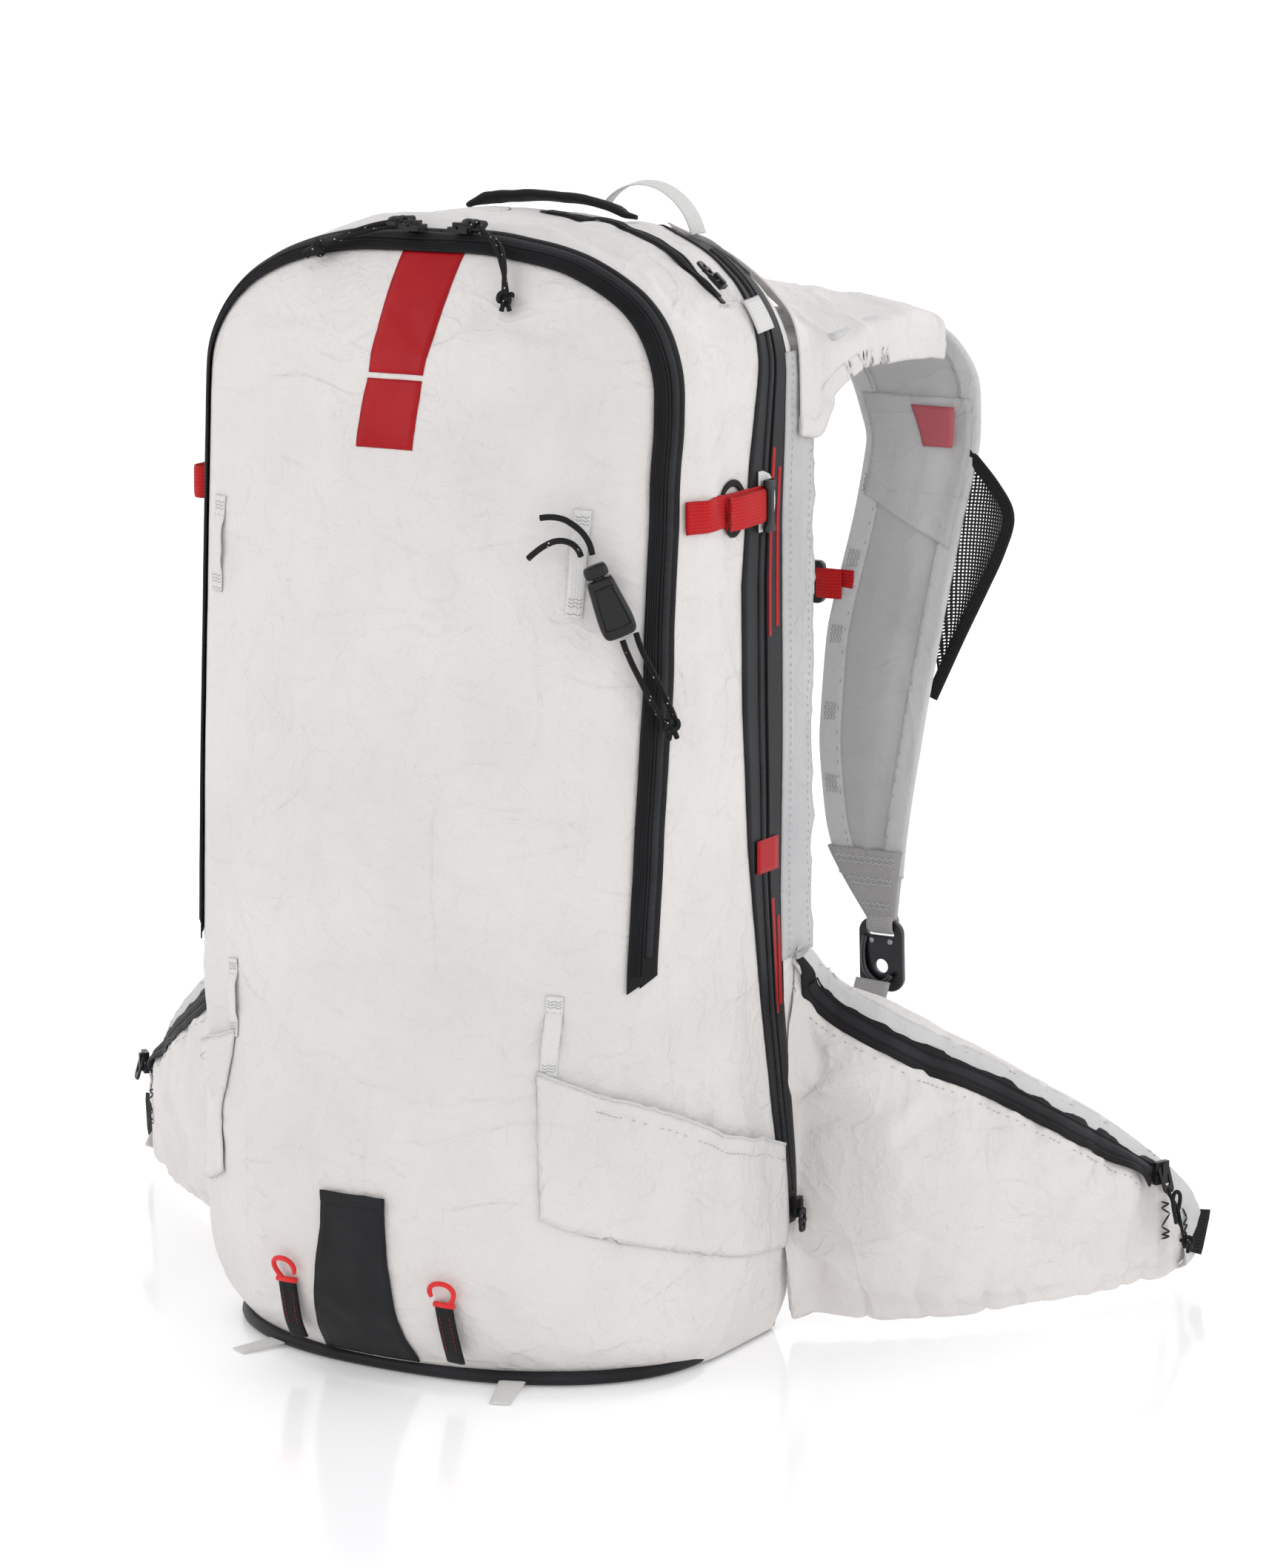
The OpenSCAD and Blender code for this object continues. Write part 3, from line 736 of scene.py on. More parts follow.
def knot_mesh(name, at, along, size, tube):
    """An overhand knot drawn up into a ball, with two short cut ends."""
    t = np.linspace(0, 2 * math.pi, 61)[:-1]
    loop = np.stack([np.sin(t) + 2 * np.sin(2 * t), np.cos(t) - 2 * np.cos(2 * t), -1.35 * np.sin(3 * t)], axis=1)
    loop = loop / 3.0 * size
    m = np.array(basis(at, along, (0.3, -0.5, 0.8)))
    ring = [m[:3, :3] @ np.array([p[2], p[0], p[1]]) + m[:3, 3] for p in loop]
    ring = arr(ring + ring[:1])
    parts = [sweep_mesh(name + "_loop", ring, tube, 10, ends=False)]
    for k, way in enumerate((0.45, -0.5)):
        tip = arr(at) + unit(along) * size * 1.9 + m[:3, 1] * way * size * 1.2
        line = curve_through([arr(at), (arr(at) + tip) / 2 + m[:3, 2] * size * 0.2, tip], 8)
        parts.append(sweep_mesh(name + "_end%d" % k, line, tube * 0.95, 10))
    core = sweep_mesh(name + "_core", [arr(at) - unit(along) * size * 0.7, arr(at),
        arr(at) + unit(along) * size * 0.7],
                      [size * 0.5, size * 0.8, size * 0.5], 10)
    return join(name, parts + [core])


def make_cord(name, node, body, path, diameter, pair=False, turns=0.5):
    smooth = curve_through(path, 46)
    if pair:
        obj = strand_pair(name, smooth, diameter, turns)
    else:
        obj = sweep_mesh(name, smooth, diameter / 2, 12)
    finish_piece(obj, MAT["cord"], body)
    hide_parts(node)
    return obj


def knot(name, at, along, size, tube, body):
    return finish_piece(knot_mesh(name, at, along, size, tube), MAT["cord"], body)


def make_cords():
    kr = knot("pull_knot_right", PULL_RIGHT[-2], PULL_RIGHT[-1] - PULL_RIGHT[-3], 0.0036, 0.0013,
        "main_slider_right")
    make_cord("pull_right", "pull_cord_right", "main_slider_right", PULL_RIGHT, PULL_D, pair=True, turns=0.75)
    kl = knot("pull_knot_left", PULL_LEFT[-3], PULL_LEFT[-1] - PULL_LEFT[-4], 0.0038, 0.0013, "main_slider_left")
    make_cord("pull_left", "pull_cord_left", "main_slider_left", PULL_LEFT, PULL_D, pair=True, turns=0.35)
    make_cord("elastic_end_upper", "elastic_tail_upper", "flap", TAIL_UPPER, ELASTIC_D)
    make_cord("elastic_end_lower", "elastic_tail_lower", "flap", TAIL_LOWER, ELASTIC_D)
    tie = knot("elastic_knot", (LEG_FRONT[-1] + LEG_BACK[-1]) / 2, (0.1, 0.15, -1), 0.0036, 0.0014, "flap")
    make_cord("elastic_loop_front", "elastic_leg_front", "flap", LEG_FRONT, ELASTIC_D)
    make_cord("elastic_loop_back", "elastic_leg_back", "flap", LEG_BACK, ELASTIC_D)
    kw = knot("wing_pull_knot", PULL_WING[-2], PULL_WING[-1] - PULL_WING[-3], 0.003, 0.0011, "wing_slider_right")
    make_cord("wing_pull", "pull_cord_wing", "wing_slider_right", PULL_WING, ELASTIC_D, pair=True, turns=1.0)


make_cords()


# ---------------------------------------------------------------- the bag's form

# Height, half width, back, where the straight side ends, front centre line, squareness of the front.
SECTIONS = (
    (1.5, 132, 82, 20, -80, 2.0), (20, 138, 87, 8, -93, 2.2), (60, 141, 88, 0, -104, 2.4),
    (110, 141, 88, 0, -107, 2.4), (300, 140, 88, 0, -97, 2.4), (460, 138, 88, -2, -76, 2.6),
    (500, 137, 88, -4, -62, 3.0), (520, 129, 87, -5, -55, 3.0), (535, 117, 85, -6, -47, 3.0),
    (548, 98, 82, -6, -38, 3.0), (558, 72, 78, -6, -28, 2.8), (568, 44, 70, -2, -10, 2.4),
    (570, 30, 60, 8, 2, 2.4), (571, 16, 48, 20, 16, 2.4), (571.4, 3, 34, 29, 27, 2.4))
SEAM_Y, SEAM_LEAN, FOLD_Z = -0.053, 0.068, 0.196


def seam_y(z):
    return SEAM_Y + (z - FOLD_Z) * SEAM_LEAN


def ring_of(w, back, mid, front, power, fine):
    """One closed level outline, from the middle of the back round over +X, in metres."""
    half = [(x, back) for x in np.linspace(0, w - 10, 12, endpoint=False)]
    half += [(w - 10 + 10 * math.sin(a), back - 10 + 10 * math.cos(a)) for a in np.linspace(0, math.pi / 2, 5)]
    half += [(w, y) for y in np.linspace(back - 10, mid, fine // 3)[1:]]
    a = np.linspace(0, math.pi / 2, 160)
    bow = np.stack([w * np.cos(a) ** (2 / power), mid - (mid - front) * np.sin(a) ** (2 / power)], axis=1)
    half += [tuple(p) for p in resample(bow, fine)[1:]]
    half = arr(half)
    other = half[1:-1][::-1] * [-1, 1]
    return np.vstack([half, other]) * MM


def bag_grid(step=4.5, fine=38):
    """Rows of level rings from the base to the middle of the top."""
    rows = arr(SECTIONS)
    run = np.concatenate([[0], np.cumsum(np.hypot(np.diff(rows[:, 0]), np.diff(rows[:, 1])))])
    at = np.arange(0, run[-1], step)
    dense = np.stack([np.interp(at, run, rows[:, k]) for k in range(6)], axis=1)
    soft = np.stack([smooth_rows(dense[:, k], 7) for k in range(6)], axis=1)
    blend_in = np.clip(np.minimum(np.arange(len(at)), np.arange(len(at))[::-1]) / 3.0, 0, 1)[:, None]
    dense = dense * (1 - blend_in) + soft * blend_in
    grid = np.stack([np.hstack([ring_of(*r[1:], fine), np.full((len(ring_of(*r[1:], fine)), 1), r[0] * MM)])
                     for r in dense])
    around = np.linalg.norm(np.diff(np.concatenate([grid, grid[:, :1]], axis=1), axis=1), axis=2)
    u = np.concatenate([np.zeros((len(at), 1)), np.cumsum(around, axis=1)], axis=1)
    return grid, u - u[:, grid.shape[1] // 2][:, None], at * MM


def grid_object(name, grid, u, v, cap=True):
    rows, cols = grid.shape[:2]
    faces = [f[::-1] for f in grid_faces(rows, cols, closed=True)]
    uvs = []
    for r in range(rows - 1):
        for c in range(cols):
            uvs += [(u[r + 1, c], v[r + 1]), (u[r + 1, c + 1], v[r + 1]), (u[r, c + 1], v[r]), (u[r, c], v[r])]
    if cap:
        faces.append(tuple((rows - 1) * cols + c for c in range(cols))[::-1])
        uvs += [tuple(grid[-1, c, :2]) for c in range(cols)]
    return add_mesh(name, grid.reshape(-1, 3), faces, uvs)


def coords_of(obj):
    co = np.zeros(len(obj.data.vertices) * 3, np.float32)
    obj.data.vertices.foreach_get("co", co)
    return co.reshape(-1, 3).astype(float)


def normals_of(obj):
    no = np.zeros(len(obj.data.vertices) * 3, np.float32)
    obj.data.vertices.foreach_get("normal", no)
    return no.reshape(-1, 3).astype(float)


def move_to(obj, co):
    obj.data.vertices.foreach_set("co", co.astype(np.float32).ravel())
    obj.data.update()


def tree_for(obj):
    return BVHTree.FromPolygons([v.co for v in obj.data.vertices], [tuple(p.vertices) for p in obj.data.polygons])


def snap(points, tree, lift=0.0, soften=0):
    """The nearest points on a surface, lifted along its normals, with those normals."""
    spots, normals = [], []
    for p in arr(points):
        where, normal, _, _ = tree.find_nearest(Vector(p))
        spots.append(arr(where))
        normals.append(arr(normal))
    spots, normals = arr(spots), arr(normals)
    if soften > 1 and len(spots) > soften:
        normals = np.stack([smooth_rows(normals[:, k], soften) for k in range(3)], axis=1)
        normals /= np.linalg.norm(normals, axis=1, keepdims=True)
    return spots + normals * lift, normals


def settle(obj, weights, frames, pressure, grow, cap, bend=0.6, quality=5):
    """Cloth simulation with weighted pins, its result capped and written to the mesh."""
    start = coords_of(obj)
    group = obj.vertex_groups.new(name="pin")
    for i, w in enumerate(weights):
        if w > 0.001:
            group.add([i], float(w), "REPLACE")
    m = obj.modifiers.new("cloth", "CLOTH")
    s = m.settings
    s.quality = quality
    s.mass = 0.12
    s.tension_stiffness = s.compression_stiffness = 30
    s.shear_stiffness = 12
    s.bending_stiffness = bend
    s.air_damping = 3
    s.vertex_group_mass = "pin"
    s.use_pressure = True
    s.uniform_pressure_force = pressure
    s.shrink_min = s.shrink_max = -grow
    s.effector_weights.gravity = 0
    m.collision_settings.use_collision = False
    m.collision_settings.use_self_collision = False
    m.point_cache.frame_start, m.point_cache.frame_end = 1, frames
    for f in range(1, frames + 1):
        bpy.context.scene.frame_set(f)
    bake(obj)
    bpy.context.scene.frame_set(1)
    obj.vertex_groups.clear()
    moved = coords_of(obj) - start
    far = np.linalg.norm(moved, axis=1, keepdims=True)
    move_to(obj, start + moved * np.minimum(1, cap / np.maximum(far, 1e-9)))


def soft_step(x, low, high):
    t = np.clip((np.asarray(x, float) - low) / (high - low), 0, 1)
    return t * t * (3 - 2 * t)


STRIP_FRONT = mm((70, 58), (55, 120), (43, 180), (30, 260), (25, 330), (25, 390), (34, 450), (48, 505), (60, 540),
    (68, 556), (74, 561))
STRIP_BACK = mm((84, 58), (66, 175), (64, 232), (66, 307), (67, 420), (73, 490), (76, 540), (78, 556), (78, 561))


def strip_range(z):
    """Where the airbag strip starts and ends along Y at a height."""
    return (np.interp(z, STRIP_FRONT[:, 1], STRIP_FRONT[:, 0]), np.interp(z, STRIP_BACK[:, 1], STRIP_BACK[:, 0]))


def held_down(p):
    """How firmly the bag's cloth is held at each point, by its seams, tapes and stiff parts."""
    x, y, z = p.T
    off_seam = np.abs(y - seam_y(z))
    hold = (1 - soft_step(off_seam, 0.010, 0.024)) * soft_step(z, FOLD_Z - 0.012, FOLD_Z)
    y0, y1 = strip_range(z)
    strip = (1 - soft_step(np.maximum(y0 - y, y - y1), 0.002, 0.014)) * (np.abs(x) > 0.06) * soft_step(z, 0.05,
        0.06)
    hold = np.maximum(hold, strip)
    hold = np.maximum(hold, soft_step(y, 0.072, 0.084))
    hold = np.maximum(hold, 1 - soft_step(z, 0.010, 0.022))
    hold = np.maximum(hold, 0.75 * (1 - soft_step(np.abs(z - 0.246 - 0.09 * (x + 0.1)), 0.001,
        0.010)) * (y < -0.03))
    return hold


def crumple(p, normals, hold, amp=1.0):
    """Creases and slack of stiff laminated cloth, as moves along the normals."""
    out = np.zeros(len(p))
    for i, q in enumerate(p):
        x, y, z = q
        streak = ridges((x, y, z * 0.33), 26.0, 3.1, 5.0)
        fold = ridges((x * 0.6 + z * 0.5, y, z * 0.8 - x * 0.3), 17.0, 8.3, 6.0)
        fine = ridges((x, y, z), 60.0, 5.7, 4.0)
        slack = swell((x, y, z * 0.6), 12.0, 2.2)
        small = swell((x, y, z), 48.0, 6.1)
        out[i] = -0.0005 * streak - 0.0007 * fold - 0.0004 * fine + 0.0017 * slack + 0.0006 * small
    return p + normals * (out * (1 - 0.92 * hold) * amp)[:, None]


def plane_cut(bm, at, normal):
    bmesh.ops.bisect_plane(bm, geom=bm.verts[:] + bm.edges[:] + bm.faces[:], plane_co=at, plane_no=normal,
        dist=1e-6)


def part_of(source, name, keep):
    """A copy of an object's faces whose centres pass a test, keeping the source's smooth normals."""
    bm = bmesh.new()
    bm.from_mesh(source.data)
    bm.normal_update()
    layer = bm.verts.layers.float_vector.new("outward")
    for v in bm.verts:
        v[layer] = v.normal
    drop = [f for f in bm.faces if not keep(f.calc_center_median())]
    bmesh.ops.delete(bm, geom=drop, context="FACES")
    mesh = bpy.data.meshes.new(name)
    bm.to_mesh(mesh)
    bm.free()
    obj = bpy.data.objects.new(name, mesh)
    bpy.context.scene.collection.objects.link(obj)
    return obj


def skin_of(obj, thickness):
    """Gives an open cloth sheet its inner side and edges, along the normals it had before it was cut."""
    mesh = obj.data
    n = len(mesh.vertices)
    out = np.zeros(n * 3, np.float32)
    mesh.attributes["outward"].data.foreach_get("vector", out)
    out = out.reshape(-1, 3).astype(float)
    co = coords_of(obj)
    faces = [tuple(p.vertices) for p in mesh.polygons]
    uv = mesh.uv_layers[0].data
    loops = [[tuple(uv[k].uv) for k in p.loop_indices] for p in mesh.polygons]
    border = {}
    for f in faces:
        for a, b in zip(f, f[1:] + f[:1]):
            border[(a, b)] = f
    rim = [(b, a, a + n, b + n) for a, b in border if (b, a) not in border]
    new = faces + [tuple(v + n for v in f[::-1]) for f in faces] + rim
    corners = [c for l in loops for c in l] + [c for l in loops for c in l[::-1]] + [(0.0, 0.0)] * (4 * len(rim))
    shell = add_mesh(obj.name + "_s", np.vstack([co, co - out * thickness]), new, corners)
    loop_n = []
    for k, f in enumerate(new):
        if k < len(faces):
            loop_n += [out[v] for v in f]
        elif k < 2 * len(faces):
            loop_n += [-out[v - n] for v in f]
        else:
            a, b = co[f[0]], co[f[1]]
            side = unit(np.cross(b - a, out[f[0]]))
            loop_n += [side] * 4
    shell.data.normals_split_custom_set([tuple(v) for v in loop_n])
    name = obj.name
    bpy.data.objects.remove(obj)
    shell.name = shell.data.name = name
    return shell


def on_flap(obj):
    """Bakes the piece's placement into its mesh."""
    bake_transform(obj)


def bag_surface():
    """The whole outer cloth as one mesh: settled, then creased. Also the smooth form under the creases."""
    grid, u, v = bag_grid()
    whole = grid_object("bag_whole", grid, u, v)
    p = coords_of(whole)
    settle(whole, held_down(p), 14, 0.6, 0.012, 0.0045)
    smooth = tree_for(whole)
    m = whole.modifiers.new("fine", "SUBSURF")
    m.levels = 1
    bake(whole)
    p = coords_of(whole)
    move_to(whole, crumple(p, normals_of(whole), held_down(p)))
    bm = bmesh.new()
    bm.from_mesh(whole.data)
    # the crown, where the grid's rings close, is evened out
    crown = [v for v in bm.verts if v.co.z > 0.55 and math.hypot(v.co.x, v.co.y - 0.040) < 0.030]
    for _ in range(14):
        bmesh.ops.smooth_vert(bm, verts=crown, factor=0.5, use_axis_x=True, use_axis_y=True, use_axis_z=True)
    plane_cut(bm, (0, SEAM_Y, FOLD_Z), (0, 1, -SEAM_LEAN))
    bm.to_mesh(whole.data)
    bm.free()
    return whole, smooth


def make_bag():
    whole, smooth = bag_surface()
    tree = tree_for(whole)
    ahead = lambda c: c.y < seam_y(c.z)
    shell = skin_of(part_of(whole, "bag_shell", lambda c: not ahead(c)), 0.0008)
    finish_piece(shell, MAT["shell"], "root")
    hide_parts("bag_body")
    panel = skin_of(part_of(whole, "front_panel", ahead), 0.0008)
    finish_piece(panel, MAT["shell"], None)
    on_flap(panel)
    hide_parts("front_flap")
    bpy.data.objects.remove(whole)
    return tree, smooth


BAG, FORM = make_bag()


# ---------------------------------------------------------------- the main zip and its sliders

def seam_path(count):
    """The seam between bag and flap, from the fold line on the right, over the top, to the fold line on the left."""
    lean = unit((0, SEAM_LEAN, 1))
    base = arr((0, seam_y(0.40), 0.40))
    out = []
    for a in np.linspace(-math.radians(57), math.radians(237), 400):
        way = math.cos(a) * arr((1, 0, 0)) + math.sin(a) * lean
        hit, _, _, _ = FORM.ray_cast(Vector(base + way * 0.6), Vector(-way))
        if hit and hit.z > FOLD_Z - 0.004:
            out.append(arr(hit))
    return resample(out, count)


def sideways(path, normals, far):
    """A path moved sideways over a surface; positive is towards the bag's back on every side."""
    t = tangents(path)
    across = np.cross(t, normals)
    across /= np.linalg.norm(across, axis=1, keepdims=True)
    across *= np.sign(across[:, 1:2])
    return path + across * far


def surface_ribbon(name, path, width, thick, lift, tree=None, **how):
    spots, normals = snap(path, tree or BAG, 0, 5)
    return ribbon(name, spots, normals, width, thick, lift=lift, **how)


def plate(name, outer, inner, thick, bevel=0.0003):
    """A flat plate in XY with a hole through it, centred on z = 0. Both outlines have as many points."""
    n = len(outer)
    verts = [(*p, 0) for p in outer] + [(*p, 0) for p in inner]
    faces = [(i, (i + 1) % n, n + (i + 1) % n, n + i) for i in range(n)]
    obj = add_mesh(name, verts, faces)
    m = obj.modifiers.new("thick", "SOLIDIFY")
    m.thickness = thick
    m.offset = 0
    m = obj.modifiers.new("round", "BEVEL")
    m.width = bevel
    m.segments = 2
    m.limit_method = "ANGLE"
    return bake(obj)


def slot_outline(length, width, radius, count=40, taper=1.0):
    """A rounded rectangle round the origin, long in X; taper narrows its +X end."""
    out = []
    hx, hy = length / 2 - radius, width / 2 - radius
    for k in range(count):
        a = 2 * math.pi * (k + 0.5) / count
        cx, cy = math.copysign(hx, math.cos(a)), math.copysign(hy, math.sin(a))
        x, y = cx + radius * math.cos(a), cy + radius * math.sin(a)
        out.append((x, y * (1 + (taper - 1) * (x / length + 0.5))))
    return out


def pull_plate(name, at, along, up, length, width, body):
    """A slider's puller: a tapered plate with a window for the cord, and its eye round the slider's bridge."""
    frame_plate = plate(name + "_p", slot_outline(length, width, width * 0.3, taper=0.8),
                        slot_outline(length * 0.5, width * 0.45, width * 0.2, taper=0.8), 0.0014)
    bar = rounded_box(name + "_b", (-length * 0.08, -width * 0.42, -0.0011), (length * 0.1, width * 0.42, 0.0012),
        0.0005)
    obj = join(name, [frame_plate, bar])
    place(obj, basis(at, along, up))
    return finish_piece(obj, MAT["plastic"], body)


def make_main_zip():
    path = seam_path(300)
    spots, normals = snap(path, BAG, 0, 9)
    wave = np.array([swell(p, 30.0, 4.4) for p in spots])[:, None]
    spots = snap(sideways(spots, normals, wave * 0.0011), BAG)[0]
    flap_line = snap(sideways(spots, normals, -0.0044), BAG)[0]
    bag_line = snap(sideways(spots, normals, 0.0036), BAG)[0]
    flap_tape = surface_ribbon("zip_tape_front", flap_line, 0.0082 * (1 + 0.07 * wave[:, 0]), 0.0009, 0.0009,
        cuts=9, slant=-0.0024)
    finish_piece(flap_tape, MAT["zip"], None)
    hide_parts("main_zip_flap_tape")
    on_flap(flap_tape)
    bag_tape = surface_ribbon("zip_tape_back", bag_line[1:-1], 0.0100 * (1 + 0.06 * wave[1:-1, 0]), 0.0008, 0.0001,
        cuts=9, slant=-0.0030)
    finish_piece(bag_tape, MAT["zip"], "root")
    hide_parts("main_zip_bag_tape")
    ribs = []
    for k, far in enumerate((-0.0077, -0.0065, -0.0053, -0.0041, -0.0029)):
        line = snap(sideways(spots, normals, far), BAG)[0][2:-2]
        ribs.append(surface_ribbon("rib%d" % k, line, 0.0007, 0.0003, 0.0017, cuts=5, crown=0.0002))
    lip = surface_ribbon("lip", snap(sideways(spots, normals, -0.0008), BAG)[0][2:-2], 0.0015, 0.0008, 0.0014,
        crown=0.0005)
    front = finish_piece(join("zip_front_ribs", ribs + [lip]), MAT["zip"], None)
    on_flap(front)
    coil = surface_ribbon("zip_coil_band", snap(sideways(spots, normals, 0.0026), BAG)[0][5:-5], 0.0044, 0.0007,
        0.0008,
                          crown=0.0007, cuts=9)
    finish_piece(coil, MAT["coil"], "root")
    rows = [(snap(sideways(spots, normals, 0.0066), BAG, 0.0009)[0][6:-6], normals[6:-6])]
    stitches("zip_stitches_back", rows, MAT["blackthread"], "zip_black", "root", pitch=0.0026)
    for side, x, way in (("right", 0.014, 1), ("left", -0.014, -1)):
        body = "main_slider_" + side
        tip = arr((x + way * 0.0068, -0.0302, 0.5655))
        pull_plate("zip_pull_" + side, tip, (way, -0.05, -0.03), (0.0, -0.55, 0.83), 0.0150, 0.0085, body)
        ring_at = PULL_RIGHT[0] if way > 0 else PULL_LEFT[0]
        loop = [ring_at + arr((0.0001 * way, -0.0003, 0.0006)) + 0.0026 * (math.cos(a) * arr((way * 0.5, 0.1, 0.85))
                + math.sin(a) * arr((0, 1, 0.05))) for a in np.linspace(0, 2 * math.pi, 25)]
        eye = sweep_mesh("cord_eye_" + side, loop, 0.0012, 10, ends=False)
        finish_piece(eye, MAT["cord"], body)
        cad_material("main_slider_" + side, MAT["slider"])


def cad_material(node, material):
    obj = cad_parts[node]
    if not isinstance(obj, bpy.types.Object):
        obj = bpy.data.objects[node]
    obj.data.materials.clear()
    obj.data.materials.append(material)


make_main_zip()


# ---------------------------------------------------------------- airbag strips

def side_spot(side, y, z):
    """The bag's side at a place, from outside along X."""
    hit, normal, _, _ = BAG.ray_cast(Vector((side * 0.3, y, z)), Vector((-side, 0, 0)))
    if hit is None or hit.x * side < 0.005:
        hit, normal, _, _ = BAG.find_nearest(Vector((side * 0.1, y, z)))
    return arr(hit), arr(normal)


def side_sheet(name, side, rows, lift, thick, cols=8):
    """A sheet on the bag's side through rows of (y0, y1, z0, z1), each a line between two places."""
    verts, uvs, normals = [], [], []
    run = 0.0
    for r, (y0, z0, y1, z1) in enumerate(rows):
        if r:
            run += math.hypot(rows[r][1] - rows[r - 1][1], rows[r][0] - rows[r - 1][0])
        for k in range(cols):
            t = k / (cols - 1)
            spot, n = side_spot(side, y0 + (y1 - y0) * t, z0 + (z1 - z0) * t)
            verts.append(spot)
            normals.append(n)
            uvs.append((t * math.hypot(y1 - y0, z1 - z0), run))
    verts, normals = arr(verts), arr(normals)
    n = len(verts)
    faces = grid_faces(len(rows), cols)
    if side > 0:
        faces = [f[::-1] for f in faces]
    top = verts + normals * (lift + thick)
    low = verts + normals * lift
    edge = {}
    for f in faces:
        for a, b in zip(f, f[1:] + f[:1]):
            edge[(a, b)] = 1
    rim = [(b, a, a + n, b + n) for a, b in edge if (b, a) not in edge]
    return add_mesh(name, np.vstack([top, low]), faces + [tuple(v + n for v in f[::-1]) for f in faces] + rim,
                    np.vstack([uvs, uvs]))


def make_airbag_strips():
    for side, word in ((1, "right"), (-1, "left")):
        zs = np.concatenate([np.linspace(0.058, 0.54, 120), np.linspace(0.543, 0.561, 8)])
        rows = []
        for z in zs:
            y0, y1 = strip_range(z)
            rows.append((y0, z, y1, z))
        strip = side_sheet("airbag_strip_" + word, side, rows, 0.0003, 0.0007, 9)
        finish_piece(strip, MAT["coated"], "root")
        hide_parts("airbag_zip_" + word)
        for name, share, width, mat, lift in (("coil", 0.42, 0.0040, "coil", 0.0009),
            ("lip", 0.56, 0.0012, "zip", 0.0010)):
            line = []
            for z in np.linspace(0.075, 0.548, 110):
                y0, y1 = strip_range(z)
                line.append(side_spot(side, y0 + (y1 - y0) * share, z)[0])
            band = surface_ribbon("airbag_%s_%s" % (name, word), line, width, 0.0006, lift, crown=0.0005)
            finish_piece(band, MAT[mat], "root")
        for low, high, name in ((0.362, 0.455, "upper"), (0.170, 0.230, "lower")):
            marks = []
            for k, share in enumerate((0.66, 0.84)):
                zs = np.linspace(low + 0.004 * k, high - 0.010 * k, 40)
                line = []
                for z in zs:
                    y0, y1 = strip_range(z)
                    line.append(side_spot(side, y0 + (y1 - y0) * share, z)[0])
                marks.append(surface_ribbon("mark%d" % k, line, 0.0030, 0.00025, 0.00095, edge=0.1))
            finish_piece(join("red_marks_%s_%s" % (name, word), marks), MAT["print"], "root")
        y0, y1 = strip_range(0.250)
        rows = [(y0 + 0.005, z, y1 - 0.006, z) for z in np.linspace(0.2445, 0.2615, 8)]
        square = side_sheet("red_square_" + word, side, rows, 0.0019, 0.0002, 6)
        finish_piece(square, MAT["print"], "root")
        rows = [(0.050, z, 0.0665, z + 0.0015) for z in np.linspace(0.5105, 0.5255, 7)]
        tab = side_sheet("strip_tab_" + word, side, rows, 0.0016, 0.0008, 6)
        finish_piece(tab, MAT["tab"], "root")
        body = "airbag_slider_" + word
        cad_material("airbag_slider_" + word, MAT["slider"])
        pull_plate("airbag_pull_" + word, (side * 0.1466, 0.0775, 0.0595), (0, 0, -1), (side, 0, 0), 0.0125, 0.0065,
            body)


make_airbag_strips()


# ---------------------------------------------------------------- compression straps

def on_side_line(side, points):
    """Points given as (y, z) in metres on the bag's side."""
    return arr([side_spot(side, y, z)[0] for y, z in points])


def loft(name, rows, material, body, closed=True, caps=True):
    """A skin through rows of points, each row a closed ring."""
    n = len(rows[0])
    verts = arr([p for r in rows for p in r])
    faces = grid_faces(len(rows), n, closed=closed)
    uvs = []
    run_v = 0.0
    for r, row in enumerate(rows):
        if r:
            run_v += float(np.linalg.norm(arr(row) - arr(rows[r - 1]), axis=1).mean())
        run_u = 0.0
        for k, p in enumerate(row):
            if k:
                run_u += float(np.linalg.norm(arr(p) - arr(row[k - 1])))
            uvs.append((run_u, run_v))
    if caps:
        faces.append(tuple(range(n))[::-1])
        faces.append(tuple((len(rows) - 1) * n + k for k in range(n)))
    obj = add_mesh(name, verts, faces, uvs)
    outward(obj)
    return finish_piece(obj, material, body)


def outward(obj):
    bm = bmesh.new()
    bm.from_mesh(obj.data)
    bmesh.ops.recalc_face_normals(bm, faces=bm.faces[:])
    bm.to_mesh(obj.data)
    bm.free()
    return obj


